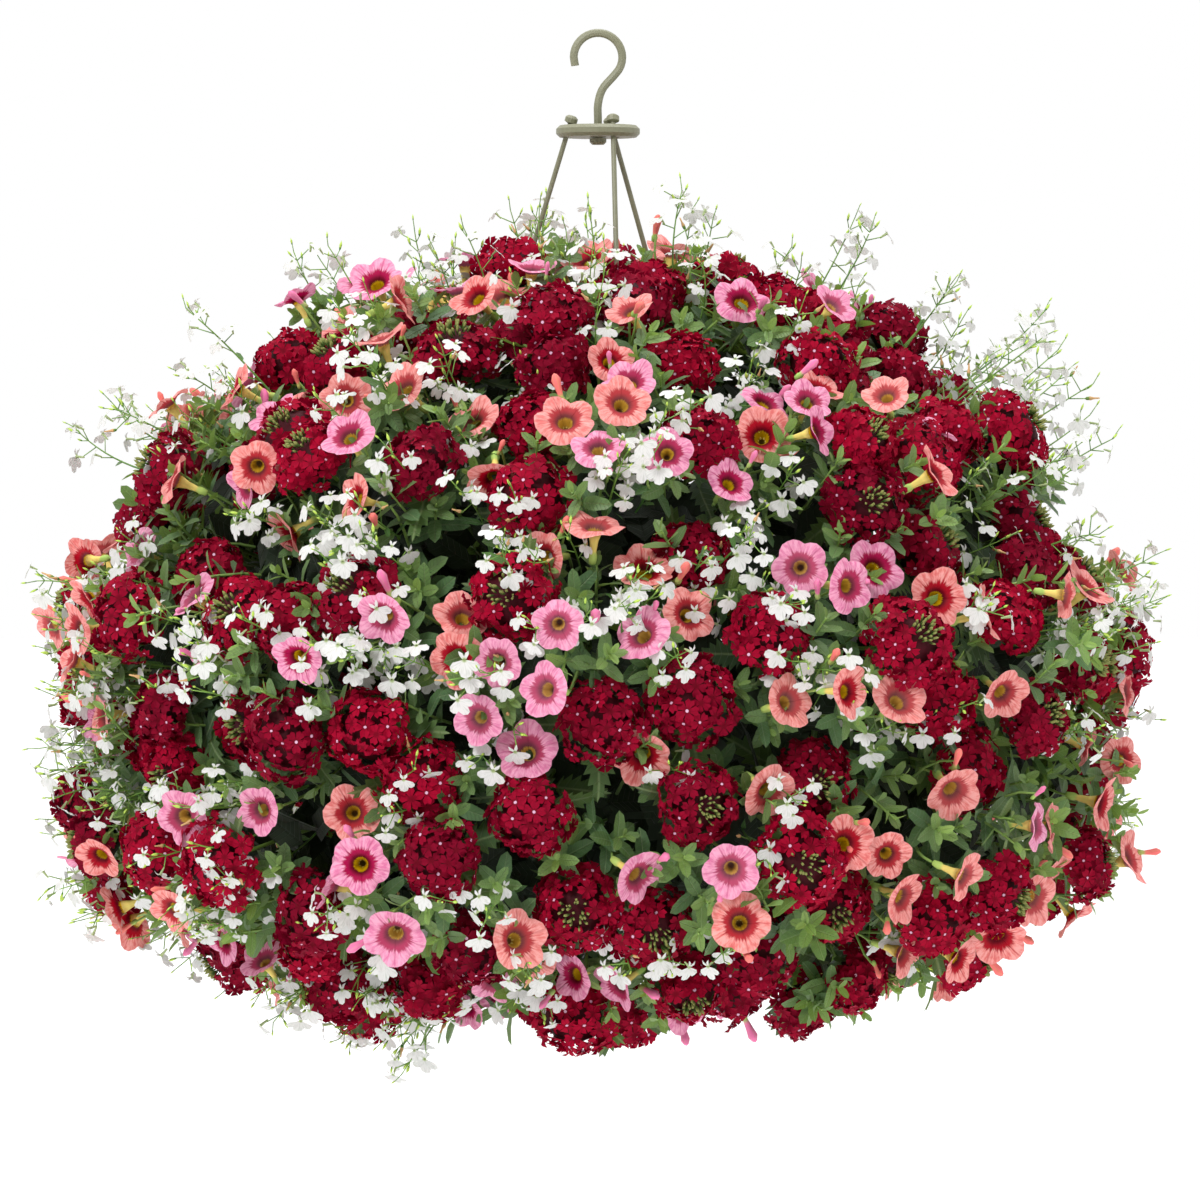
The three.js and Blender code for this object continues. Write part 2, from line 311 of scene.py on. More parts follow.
@functools.cache
def scatter_tree():
    """One shape on each point, turned and sized as the point says, then loosened at random."""
    tree = new_tree("Shapes on points", {"Shapes": "Collection", "Material": "Material", **LOOSE})
    source = node(tree, "NodeGroupInput")
    turn = node(tree, "GeometryNodeInputNamedAttribute", {"Name": "turn"}, data_type="QUATERNION")
    size = node(tree, "GeometryNodeInputNamedAttribute", {"Name": "size"}, data_type="FLOAT_VECTOR")
    points = node(tree, "GeometryNodeMeshToPoints", {"Mesh": source.outputs["Geometry"]})
    done = place_shapes(
        tree,
        points.outputs[0],
        loosened(tree, turn.outputs[0], source),
        size.outputs[0],
        source,
        source.outputs["Material"],
    )
    node(tree, "NodeGroupOutput", {"Geometry": done})
    return tree


@functools.cache
def head_tree():
    """Florets on a spiral over each head's dome: point k stands one golden angle on from the last."""
    sockets = {"Shapes": "Collection", "Material": "Material", **LOOSE}
    sockets |= {"Florets": "Int", "Radius": "Float", "Dome": "Float", "Flatness": "Float", "Spread": "Float"}
    tree = new_tree("Florets on heads", sockets)
    source = node(tree, "NodeGroupInput")

    def maths(operation, *values):
        return node(tree, "ShaderNodeMath:" + operation, *values).outputs[0]

    heads = node(tree, "GeometryNodeMeshToPoints", {"Mesh": source.outputs["Geometry"]})
    many = node(
        tree,
        "GeometryNodeDuplicateElements",
        {"Geometry": heads.outputs[0], "Amount": source.outputs["Florets"]},
        domain="POINT",
    )
    number = many.outputs["Duplicate Index"]
    share = maths("DIVIDE", maths("ADD", number, 0.5), source.outputs["Florets"])
    open_from = node(tree, "GeometryNodeInputNamedAttribute", {"Name": "open"}, data_type="FLOAT")
    edge = maths("COSINE", source.outputs["Dome"])
    span = maths("SUBTRACT", edge, open_from.outputs[0])
    height = maths("MULTIPLY_ADD", share, span, open_from.outputs[0])
    across = maths("SQRT", maths("SUBTRACT", 1.0, maths("MULTIPLY", height, height)))
    wobble = node(
        tree, "FunctionNodeRandomValue", {2: -0.15, 3: 0.15, 8: source.outputs["Seed"]}, data_type="FLOAT"
    )
    round_by = maths("MULTIPLY_ADD", number, GOLDEN_ANGLE, wobble.outputs[1])
    out_x = maths("MULTIPLY", across, maths("COSINE", round_by))
    out_y = maths("MULTIPLY", across, maths("SINE", round_by))
    flat_z = maths("MULTIPLY", height, source.outputs["Flatness"])
    way = node(tree, "ShaderNodeCombineXYZ", out_x, out_y, height)
    place = node(tree, "ShaderNodeCombineXYZ", out_x, out_y, flat_z)
    turn = node(tree, "GeometryNodeInputNamedAttribute", {"Name": "turn"}, data_type="QUATERNION")
    size = node(tree, "GeometryNodeInputNamedAttribute", {"Name": "size"}, data_type="FLOAT_VECTOR")
    depth = node(
        tree,
        "FunctionNodeRandomValue",
        {2: source.outputs["Spread"], 3: 1.04, 8: 11},
        data_type="FLOAT",
    )
    reach = maths("MULTIPLY", source.outputs["Radius"], depth.outputs[1])
    sized = node(tree, "ShaderNodeVectorMath:MULTIPLY", place.outputs[0], size.outputs[0])
    local = node(tree, "ShaderNodeVectorMath:SCALE", sized.outputs[0], reach)
    offset = node(tree, "FunctionNodeRotateVector", local.outputs[0], turn.outputs[0])
    facing = node(tree, "FunctionNodeRotateVector", way.outputs[0], turn.outputs[0])
    spread = node(
        tree, "GeometryNodeSetPosition", {"Geometry": many.outputs["Geometry"], "Offset": offset.outputs[0]}
    )
    outward = node(
        tree, "FunctionNodeAlignRotationToVector", {"Vector": facing.outputs[0]}, axis="Z"
    )
    growth = node(tree, "FunctionNodeRandomValue", {2: 0.86, 3: 1.1, 8: 12}, data_type="FLOAT")
    tone = node(tree, "FunctionNodeRandomValue", {4: 0, 5: TILES - 1, 8: 13}, data_type="INT")
    tile = node(tree, "GeometryNodeInputNamedAttribute", {"Name": "tile"}, data_type="INT")
    mixed = maths("MULTIPLY_ADD", tone.outputs[2], TILES, tile.outputs[0])
    toned = node(
        tree,
        "GeometryNodeStoreNamedAttribute",
        {"Geometry": spread.outputs[0], "Name": "tile", "Value": mixed},
        data_type="INT",
        domain="POINT",
    )
    done = place_shapes(
        tree,
        toned.outputs[0],
        loosened(tree, outward.outputs[0], source),
        growth.outputs[1],
        source,
        source.outputs["Material"],
    )
    node(tree, "NodeGroupOutput", {"Geometry": done})
    return tree


@functools.cache
def stem_tree():
    """A round stem along each path, as thick as its points say, with a UV map along its length."""
    tree = new_tree("Stems on paths", {"Sides": "Int", "Material": "Material"})
    source = node(tree, "NodeGroupInput")
    paths = node(tree, "GeometryNodeMeshToCurve", {"Mesh": source.outputs["Geometry"]})
    along = node(tree, "GeometryNodeSplineParameter")
    marked = node(
        tree,
        "GeometryNodeStoreNamedAttribute",
        {"Geometry": paths.outputs[0], "Name": "along", "Value": along.outputs["Factor"]},
        data_type="FLOAT",
        domain="POINT",
    )
    thick = node(tree, "GeometryNodeInputNamedAttribute", {"Name": "thick"}, data_type="FLOAT")
    sized = node(
        tree, "GeometryNodeSetCurveRadius", {"Curve": marked.outputs[0], "Radius": thick.outputs[0]}
    )
    inputs = {0: source.outputs["Sides"], 4: 1.0}
    ring = node(tree, "GeometryNodeCurvePrimitiveCircle", inputs, mode="RADIUS")
    inputs = {"Curve": sized.outputs[0], "Profile Curve": ring.outputs[0], "Fill Caps": True}
    scale = node(tree, "GeometryNodeCurveToMesh", inputs)
    if "Scale" in scale.inputs:
        tree.links.new(thick.outputs[0], scale.inputs["Scale"])
        tree.links.new(marked.outputs[0], scale.inputs["Curve"])
    share = node(tree, "GeometryNodeInputNamedAttribute", {"Name": "along"}, data_type="FLOAT")
    tone = node(tree, "GeometryNodeInputNamedAttribute", {"Name": "tone"}, data_type="FLOAT")
    flat = node(tree, "ShaderNodeCombineXYZ", share.outputs[0], tone.outputs[0])
    last = scale.outputs[0]
    for name in ("surface", "OFBake"):
        last = node(
            tree,
            "GeometryNodeStoreNamedAttribute",
            {"Geometry": last, "Name": name, "Value": flat.outputs[0]},
            data_type="FLOAT2",
            domain="CORNER",
        ).outputs[0]
    for name in ("thick", "along", "tone"):
        last = node(tree, "GeometryNodeRemoveAttribute", {"Geometry": last, "Name": name}).outputs[0]
    real = node(tree, "GeometryNodeRealizeInstances", {"Geometry": last})
    dressed = node(
        tree,
        "GeometryNodeSetMaterial",
        {"Geometry": real.outputs[0], "Material": source.outputs["Material"]},
    )
    node(tree, "NodeGroupOutput", {"Geometry": dressed.outputs[0]})
    return tree


# ---------------------------------------------------------------- places

def across(vector, axis):
    """The part of a vector that is square to an axis, one unit long."""
    rest = vector - axis * vector.dot(axis)
    return rest.normalized() if rest.length > 1e-6 else axis.orthogonal().normalized()


def aim(z, towards):
    """The turn that takes local Z along z and local X as near to towards as it can."""
    z = z.normalized()
    x = across(towards, z)
    return Matrix((x, z.cross(x), z)).transposed().to_quaternion()


def wander(rng, amount):
    return Vector([rng.gauss(0, amount) for _ in range(3)])


class Spots:
    """Places for copies of a shape: where, how turned, how large, and which tile of shades."""

    def __init__(self):
        self.points, self.turns, self.sizes, self.tiles, self.opens = [], [], [], [], []

    def add(self, point, turn, size, tile=0, open_from=1.0):
        self.points.append(point)
        self.turns.append(turn)
        self.sizes.append(size if isinstance(size, Vector) else Vector((size, size, size)))
        self.tiles.append(tile)
        self.opens.append(open_from)

    def as_object(self, name):
        mesh = bpy.data.meshes.new(name)
        mesh.from_pydata([tuple(p) for p in self.points], [], [])
        flat = [c for turn in self.turns for c in turn]
        mesh.attributes.new("turn", "QUATERNION", "POINT").data.foreach_set("value", flat)
        flat = [c for size in self.sizes for c in size]
        mesh.attributes.new("size", "FLOAT_VECTOR", "POINT").data.foreach_set("vector", flat)
        mesh.attributes.new("tile", "INT", "POINT").data.foreach_set("value", self.tiles)
        mesh.attributes.new("open", "FLOAT", "POINT").data.foreach_set("value", self.opens)
        return linked(name, mesh)


class Paths:
    """Centre lines for stems, each with a thickness that tapers and a tone of its own."""

    def __init__(self):
        self.points, self.edges, self.thick, self.tones = [], [], [], []

    def add(self, points, start, end, tone):
        first = len(self.points)
        self.points += [tuple(p) for p in points]
        self.edges += [(first + k, first + k + 1) for k in range(len(points) - 1)]
        self.thick += [start + (end - start) * k / (len(points) - 1) for k in range(len(points))]
        self.tones += [tone] * len(points)

    def as_object(self, name):
        mesh = bpy.data.meshes.new(name)
        mesh.from_pydata(self.points, self.edges, [])
        mesh.attributes.new("thick", "FLOAT", "POINT").data.foreach_set("value", self.thick)
        mesh.attributes.new("tone", "FLOAT", "POINT").data.foreach_set("value", self.tones)
        return linked(name, mesh)


def linked(name, mesh):
    ob = bpy.data.objects.new(name, mesh)
    bpy.context.scene.collection.objects.link(ob)
    return ob


def arc(start, middle, end, steps):
    """Points on a smooth bow from start to end, drawn towards middle."""
    out = []
    for k in range(steps + 1):
        t = k / steps
        out.append(start * (1 - t) ** 2 + middle * (2 * t * (1 - t)) + end * t * t)
    return out


@functools.cache
def crowns():
    """The shoots' solids as one search tree, with each face's shoot."""
    corners, faces, owners = [], [], []
    for name, ob in SHOOTS.items():
        first = len(corners)
        corners += [v.co.copy() for v in ob.data.vertices]
        for face in ob.data.polygons:
            faces.append([first + i for i in face.vertices])
            owners.append(name)
    return BVHTree.FromPolygons(corners, faces), owners


@functools.cache
def mass_centre():
    """The middle of the planting, just under the soil line."""
    return Vector((0, 0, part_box("potting_mix")[1].z - 13 * MM))


NEAREST_CROWN = 160 * MM  # a hit nearer the middle than this is a crown seen from inside
LOWER_LIFT = 40 * MM  # how far the lower edge is drawn in towards the middle
# The dark leaves that stand in the gaps are painted shade.
GAP_BACKING = 250 * MM  # how far out the dark leaves stand where there's a gap between crowns
SPRIG_REACH = 334 * MM  # the furthest that a lobelia spray's tip stands from the hanger's line


def crown_at(direction):
    """Where a ray from outside first meets a crown: the point, the way out and the species."""
    tree, owners = crowns()
    centre = mass_centre()
    point, _, face, _ = tree.ray_cast(centre + direction, -direction)
    if point is None or (point - centre).dot(direction) < NEAREST_CROWN:
        return None
    raised = LOWER_LIFT * min(1, max(0, (-direction.z - 0.3) / 0.4))
    return point - direction * raised, direction, owners[face].split("_shoot_")[0]


def any_direction(rng, lowest):
    """A direction from the middle, level or above a lowest slope, drawn evenly over the sphere."""
    z = rng.uniform(math.sin(math.radians(lowest)), 1)
    a = rng.uniform(-math.pi, math.pi)
    r = math.sqrt(1 - z * z)
    return Vector((r * math.sin(a), -r * math.cos(a), z))


class Packing:
    """Keeps spots from crowding each other: a grid of what has been taken, with its radii."""

    def __init__(self, pitch):
        self.pitch, self.cells = pitch, {}

    def key(self, point):
        return tuple(math.floor(c / self.pitch) for c in point)

    def free(self, point, radius, overlap):
        x, y, z = self.key(point)
        for i in (-1, 0, 1):
            for j in (-1, 0, 1):
                for k in (-1, 0, 1):
                    for other, other_radius in self.cells.get((x + i, y + j, z + k), ()):
                        if (other - point).length < (radius + other_radius) * overlap:
                            return False
        return True

    def take(self, point, radius):
        self.cells.setdefault(self.key(point), []).append((point, radius))


SKIRT = -47  # degrees: the lowest slope, seen from the middle, at which anything grows


@functools.cache
def bloom_plan():
    """Where each verbena head, calibrachoa flower and lobelia spray grows, biggest first."""
    rng = random.Random(41)
    packing = Packing(60 * MM)
    plan = {"verbena": [], "calibrachoa_coral": [], "calibrachoa_pink": [], "lobelia": []}
    room = {"verbena": 24, "lobelia": 13, "calibrachoa_coral": 15, "calibrachoa_pink": 15}
    stages = (
        (("verbena",), 212, 0.88, 0.25),
        (("calibrachoa_coral", "calibrachoa_pink"), 330, 0.84, 0.42),
        (("lobelia",), 340, 0.52, 0.34),
    )
    for kinds, number, overlap, stray in stages:
        placed = 0
        for _ in range(30000):
            way = any_direction(rng, SKIRT)
            found = crown_at(way)
            mixed = crown_at((way + wander(rng, stray)).normalized())
            if not found or not mixed or mixed[2] not in kinds:
                continue
            radius = room[mixed[2]] * MM
            if packing.free(found[0], radius, overlap):
                packing.take(found[0], radius)
                plan[mixed[2]].append((found[0], way))
                placed += 1
            if placed == number:
                break
    plan["packing"] = packing
    return plan


# ---------------------------------------------------------------- shapes

def shape(name, corners, faces, flat):
    """A mesh in millimetres, smooth, with the flat places of its corners kept as an attribute."""
    mesh = bpy.data.meshes.new(name)
    mesh.from_pydata([tuple(c * MM for c in corner) for corner in corners], [], faces)
    store = mesh.attributes.new("shape", "FLOAT_VECTOR", "CORNER")
    for loop in mesh.loops:
        u, v = flat[loop.vertex_index]
        store.data[loop.index].vector = (0.02 + 0.96 * u, 0.02 + 0.96 * v, 0)
    mesh.shade_smooth()
    return linked(name, mesh)


def polar(radius, degrees, height=0.0):
    a = math.radians(degrees)
    return (radius * math.cos(a), radius * math.sin(a), height)


def planar(corners, radius):
    return [(0.5 + 0.5 * x / radius, 0.5 + 0.5 * y / radius) for x, y, _ in corners]


def floret(name, radius, droop, lift):
    """A verbena floret: five notched petals round a tiny throat."""
    corners, faces = [(0, 0, -0.8)], []
    for k in range(5):
        corners.append(polar(0.17 * radius, 72 * k - 36, -0.3))
    for k in range(5):
        mid, first = 72 * k, len(corners)
        bend = droop * (1 + 0.35 * math.sin(2.4 * k + droop))
        corners += [
            polar(0.76 * radius, mid - 31, lift),
            polar(1.00 * radius, mid - 14, -bend),
            polar(0.84 * radius, mid, -0.5 * bend),
            polar(1.00 * radius, mid + 14, -bend * 0.8),
            polar(0.76 * radius, mid + 31, lift * 1.2),
        ]
        left, right = 1 + k, 1 + (k + 1) % 5
        faces += [(0, left, first, first + 1, first + 2), (0, first + 2, first + 3, first + 4, right)]
    return shape(name, corners, faces, planar(corners, radius))


def corolla(name, radius, seed):
    """A calibrachoa flower: a funnel that opens into a ruffled disc of five shallow lobes."""
    rng = random.Random(seed)
    spokes = 30
    rings = [(0.11, -9.5), (0.19, -5.2), (0.30, -2.2), (0.50, -0.4), (0.76, 0.6), (1.0, 0.1)]
    cup, roll, phase = rng.uniform(-1.8, 2.2), rng.uniform(0.8, 2.0), rng.uniform(0, 6)
    corners, faces = [(0, 0, -11.0)], []
    for share, height in rings:
        for k in range(spokes):
            a = 2 * math.pi * k / spokes
            notch = (0.5 - 0.5 * math.cos(5 * a)) ** 3
            reach = share * radius * (1 - 0.17 * share * notch)
            ruffle = share**2 * (0.55 * math.cos(5 * a) - roll * notch * 0.9)
            ruffle += share**3 * (cup + 1.5 * math.sin(2 * a + phase) + 0.3 * math.sin(7 * a + phase))
            corners.append((reach * math.cos(a), reach * math.sin(a), height + ruffle))
    for k in range(spokes):
        faces.append((0, 1 + k, 1 + (k + 1) % spokes))
    for ring in range(len(rings) - 1):
        for k in range(spokes):
            a, b = 1 + ring * spokes + k, 1 + ring * spokes + (k + 1) % spokes
            faces.append((a, a + spokes, b + spokes, b))
    return shape(name, corners, faces, planar(corners, radius))


def lip(name, length_mm, flare):
    """A lobelia flower: three broad lower lobes along +X, two narrow upper lobes and a short tube."""
    corners, faces = [(0, 0, -0.4)], []
    for turn, wide, long in ((0, 1.0, 1.0), (52, 0.88, 0.92), (-52, 0.88, 0.92)):
        first = len(corners)
        size = length_mm * long
        rows = [(0.10, -0.07, 0), (0.10, 0.07, 0), (0.62, 0.33 * wide, 0.6), (0.90, 0.24 * wide, 0.2)]
        rows += [(1.0, 0.0, -0.1), (0.90, -0.24 * wide, 0.2), (0.62, -0.33 * wide, 0.6), (0.60, 0, 0.25)]
        c, s = math.cos(math.radians(turn)), math.sin(math.radians(turn))
        for x, y, z in rows:
            fold = flare * x * x + z
            corners.append((size * (x * c - y * s), size * (x * s + y * c), fold))
        rim = [first + k for k in (1, 2, 3, 4, 5, 6, 0)]
        faces += [(first + 7, b, a) for a, b in zip(rim, rim[1:])]
        faces.append((first + 7, first + 1, first))
        faces.append((0, first, first + 1))
    for turn in (152, -152):
        first = len(corners)
        c, s = math.cos(math.radians(turn)), math.sin(math.radians(turn))
        rows = ((0.06, -0.07, 0), (0.06, 0.07, 0), (0.34, 0.10, 0.5), (0.56, 0, -0.4), (0.34, -0.10, 0.5))
        for x, y, z in rows:
            x, y = x * length_mm, y * length_mm
            corners.append((x * c - y * s, x * s + y * c, z))
        faces += [(first + a, first + b, first + c) for a, b, c in ((1, 2, 0), (2, 4, 0), (2, 3, 4))]
    base = len(corners)
    for k in range(5):
        corners.append(polar(0.9, 72 * k, 0.2))
    for k in range(5):
        corners.append(polar(0.5, 72 * k, -5.0))
    for k in range(5):
        a, b = base + k, base + (k + 1) % 5
        faces.append((a, b, b + 5, a + 5))
    return shape(name, corners, faces, planar(corners, length_mm))


def blade(name, size, half_width, rows, fold, curl, lobes=0.0):
    """A plain leaf along +X, folded a little along its midrib and bent down to its tip."""
    corners, faces, flat = [(0, 0, 0)], [], [(0, 0.5)]
    for k in range(1, rows):
        x = 0.5 - 0.5 * math.cos(math.pi * k / rows)
        w = half_width * math.sin(math.pi * x**0.9) ** 0.42
        drop = -curl * x * x * size
        for side in (-1, 0, 1):
            lift = fold * w * abs(side) + lobes * side * math.sin(5 * x)
            corners.append((x * size, side * w, drop + lift))
            flat.append((x, 0.5 + 0.5 * side * w / half_width))
    corners.append((size, 0, -curl * size))
    flat.append((1, 0.5))
    tip = len(corners) - 1
    faces += [(0, 1, 2), (0, 2, 3)]
    for k in range(rows - 2):
        a = 1 + 3 * k
        faces += [(a, a + 3, a + 4, a + 1), (a + 1, a + 4, a + 5, a + 2)]
    last = tip - 3
    faces += [(last, tip, last + 1), (last + 1, tip, last + 2)]
    return shape(name, corners, faces, flat)


def toothed(name, size, half_width, teeth, curl):
    """A verbena leaf along +X, with deep teeth that point to its tip."""
    corners, faces, flat = [], [], []

    def corner(x, side, w):
        corners.append((x * size, side * w, 0.16 * w - curl * size * x * x + 0.02 * size * math.sin(9 * x)))
        flat.append((min(x, 1), 0.5 + 0.5 * side * w / half_width))
        return len(corners) - 1

    def outline(x):
        return half_width * math.sin(math.pi * min(x, 1) ** 0.72) ** 0.9

    step = 0.84 / teeth
    mids = [corner(0.08 + step * k, 0, 0) for k in range(teeth + 1)]
    end = corner(1.0, 0, 0)
    root = corner(0, 0, 0)
    for side in (-1, 1):
        turn = (lambda *f: f) if side < 0 else (lambda *f: tuple(reversed(f)))
        notch = corner(0.08, side, 0.14 * half_width)
        faces.append(turn(root, notch, mids[0]))
        for k in range(teeth):
            x = 0.08 + step * k
            tip = corner(x + 1.15 * step, side, outline(x + 0.75 * step))
            deep = corner(x + step, side, outline(x + step) * (0.55 if k < teeth - 1 else 0.5))
            faces += [turn(mids[k], notch, tip), turn(mids[k], tip, deep), turn(mids[k], deep, mids[k + 1])]
            notch = deep
        faces.append(turn(mids[-1], notch, end))
    return shape(name, corners, faces, flat)


def spindle(name, sides, profile, band=(0.0, 1.0)):
    """A closed round form along +Z from (z, radius) pairs whose first and last lie on the axis."""
    corners, faces, flat = [], [], []
    low, high = min(z for z, _ in profile), max(z for z, _ in profile)
    rings = []
    for z, r in profile:
        v = band[0] + (band[1] - band[0]) * (z - low) / (high - low)
        ring = []
        for k in range(sides if r > 0 else 1):
            corners.append(polar(r, 360 * k / sides, z))
            flat.append((k / sides, v))
            ring.append(len(corners) - 1)
        rings.append(ring)
    for below, above in zip(rings, rings[1:]):
        for k in range(sides):
            n = (k + 1) % sides
            quad = [ring[i % len(ring)] for ring, i in ((below, k), (below, n), (above, n), (above, k))]
            faces.append(tuple(dict.fromkeys(quad)))
    return shape(name, corners, faces, flat)


def collection_of(name, *shapes):
    """Puts shapes in a collection of their own, for a tree to pick from."""
    group = bpy.data.collections.new(name)
    bpy.context.scene.collection.children.link(group)
    for ob in shapes:
        bpy.context.scene.collection.objects.unlink(ob)
        group.objects.link(ob)
    return group


def clear_away(group):
    for ob in list(group.objects):
        bpy.data.objects.remove(ob)
    bpy.data.collections.remove(group)


def scattered(name, spots, shapes, material, slot, spin=0, tilt=0, nod=0, seed=0, tree=None, **extra):
    """Copies of some shapes on all the spots, as one finished piece."""
    group = collection_of(name + "_shapes", *shapes)
    values = {"Shapes": group, "Material": material, "Seed": seed, **extra}
    values |= {"Spin": math.radians(spin), "Tilt": math.radians(tilt), "Nod": math.radians(nod)}
    ob = applied(spots.as_object(name), tree or scatter_tree(), values)
    clear_away(group)
    return finished(ob)


def stems(name, paths, sides, material):
    values = {"Sides": sides, "Material": material}
    return finished(applied(paths.as_object(name), stem_tree(), values))


def finished(ob):
    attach(ob, "root")
    return ob


# ---------------------------------------------------------------- materials

class Paint:
    """A material with its shader tree, and short ways to add the maths that patterns need."""

    def __init__(self, name, **settings):
        self.material = bpy.data.materials.new(name)
        self.material.use_nodes = True
        self.tree = self.material.node_tree
        self.shader = self.tree.nodes["Principled BSDF"]
        for key, value in settings.items():
            self.shader.inputs[key.replace("_", " ")].default_value = value

    def add(self, kind, *values, **settings):
        """Adds a shader node and gives its output."""
        made = node(self.tree, "ShaderNode" + kind, *values, **settings)
        return next(socket for socket in made.outputs if socket.enabled)

    def tiles(self):
        """The tile's column and row, the place in it, and all of it, from the piece's own UV map."""
        uv = self.add("UVMap", uv_map="surface")
        big = self.add("VectorMath:SCALE", uv, float(TILES))
        column, row, _ = self.add("SeparateXYZ", self.add("VectorMath:FLOOR", big)).node.outputs
        u, v, _ = self.add("SeparateXYZ", self.add("VectorMath:FRACTION", big)).node.outputs
        return column, row, u, v, big

    def round_place(self, u, v):
        """Distance from the middle of a tile, 1 at its edge, and the angle round it."""
        x = self.add("Math:MULTIPLY_ADD", u, 2.08, -1.04)
        y = self.add("Math:MULTIPLY_ADD", v, 2.08, -1.04)
        far = self.add("VectorMath:LENGTH", self.add("CombineXYZ", x, y))
        return far, self.add("Math:ARCTAN2", y, x)

    def relief(self, height, depth_mm):
        """Raises and sinks the surface by a pattern of the given real depth."""
        made = self.add("Bump", {"Height": height, "Distance": depth_mm * MM, "Strength": 1.0})
        self.tree.links.new(made, self.shader.inputs["Normal"])

    def thin(self, base, through, share):
        """Links the colour, and lets light from behind show through the thin sheet."""
        self.tree.links.new(base, self.shader.inputs["Base Color"])
        back = self.add("BsdfTranslucent", through)
        both = self.add("MixShader", share, self.shader.outputs[0], back)
        self.tree.links.new(both, self.tree.nodes["Material Output"].inputs["Surface"])
        return self.material

    def solid(self, base):
        self.tree.links.new(base, self.shader.inputs["Base Color"])
        return self.material


MIX = "Mix:RGBA"
SMOOTH = "MapRange:SMOOTHSTEP"  # how far a value has come from one to another, held at 0 and 1


def verbena_petal(look):
    # Fresh verbena petal, grown. A velvety crimson that drinks light: almost no gloss, painted shade
    # darkening the crease down each petal and each floret's middle, and a pale throat on the freshest
    # florets.
    paint = Paint("verbena_petal_velvet", Roughness=0.7, IOR=1.38, Specular_IOR_Level=0.12)
    add = paint.add
    column, row, u, v, big = paint.tiles()
    far, round_by = paint.round_place(u, v)
    age = add("Math:MULTIPLY_ADD", column, 0.22, add("Math:MULTIPLY", row, 0.13))
    tone = add(MIX, age, look.petal, look.shade)
    # Painted shade: each petal darkens along the crease down its middle.
    painted_crease_shade = add("Math:ABSOLUTE", add("Math:SINE", add("Math:MULTIPLY", round_by, 2.5)))
    lines = add(SMOOTH, painted_crease_shade, 0.0, 0.35)
    tone = add(MIX, add("Math:MULTIPLY", lines, 0.55), add(MIX, 0.5, tone, look.shade), tone)
    # Painted shade: each floret darkens towards its middle, standing for the shade in its throat.
    deep = add(SMOOTH, far, 0.45, 0.12)
    tone = add(MIX, add("Math:MULTIPLY", deep, 0.6), tone, linear("#5a0413"))
    fresh = add("Math:LESS_THAN", row, 1.5)
    eye = add("Math:MULTIPLY", add(SMOOTH, far, 0.15, 0.10), fresh)
    tone = add(MIX, eye, tone, look.eye)
    grain = add("TexNoise", big, 9.0, 3.0)
    paint.relief(grain, 0.25)
    return paint.thin(tone, tone, 0.22)


def calibrachoa_petal(name, body, pale, eye, throat):
    # Fresh calibrachoa petal, grown. A satin sheet, paler between a net of darker veins, with a
    # feathered eye and a yellow throat; darker rays down the five folded creases and a dark pit in the
    # throat are painted shade.
    paint = Paint(name, Roughness=0.55, IOR=1.4, Specular_IOR_Level=0.25)
    add = paint.add
    column, row, u, v, _ = paint.tiles()
    far, round_by = paint.round_place(u, v)
    ray = add("CombineXYZ", add("Math:COSINE", round_by), add("Math:SINE", round_by), column)
    fine = add("CombineXYZ", round_by, add("Math:MULTIPLY", far, 0.35), row)
    streak = add("TexNoise", fine, 9.0, 3.0, 0.6)
    wave = add("TexNoise", ray, 2.4, 1.0)
    main = add("Math:ABSOLUTE", add("Math:SINE", add("Math:MULTIPLY", round_by, 2.5)))
    vein = add(SMOOTH, main, 0.16, 0.0)
    # Painted shade: darker rays along the five folded creases between the lobes.
    between = add("Math:ABSOLUTE", add("Math:COSINE", add("Math:MULTIPLY", round_by, 2.5)))
    fold = add(SMOOTH, between, 0.30, 0.0)
    tone = add(MIX, add(SMOOTH, streak, 0.36, 0.66), pale, body)
    deep = add(MIX, 0.45, body, eye)
    tone = add(MIX, add("Math:MULTIPLY", vein, 0.55), tone, deep)
    tone = add(MIX, add("Math:MULTIPLY", fold, 0.32), tone, deep)
    tone = add(MIX, add("Math:MULTIPLY", add(SMOOTH, far, 0.86, 1.0), 0.35), tone, pale)
    edge = add("Math:MULTIPLY_ADD", streak, 0.34, add("Math:MULTIPLY_ADD", wave, 0.18, 0.27))
    edge = add("Math:ADD", edge, add("Math:MULTIPLY", vein, 0.07))
    inside = add(SMOOTH, add("Math:SUBTRACT", far, edge), 0.09, -0.05)
    tone = add(MIX, inside, tone, add(MIX, add(SMOOTH, far, 0.45, 0.24), eye, linear("#5a0014")))
    gold = add(SMOOTH, add("Math:MULTIPLY_ADD", streak, 0.10, far), 0.31, 0.26)
    tone = add(MIX, gold, tone, throat)
    # Painted shade: the bottom of the throat darkens to near black olive, standing for the shade deep in the
    # tube.
    painted_pit_shade = add(SMOOTH, add("Math:MULTIPLY_ADD", streak, 0.05, far), 0.17, 0.10)
    tone = add(MIX, add("Math:MULTIPLY", painted_pit_shade, 0.9), tone, linear("#3d2c02"))
    faded = add("Math:MULTIPLY", column, 0.055)
    tone = add(MIX, faded, tone, pale)
    paint.relief(add("Math:ADD", streak, add("Math:MULTIPLY", vein, -0.8)), 0.35)
    return paint.thin(tone, tone, 0.3)


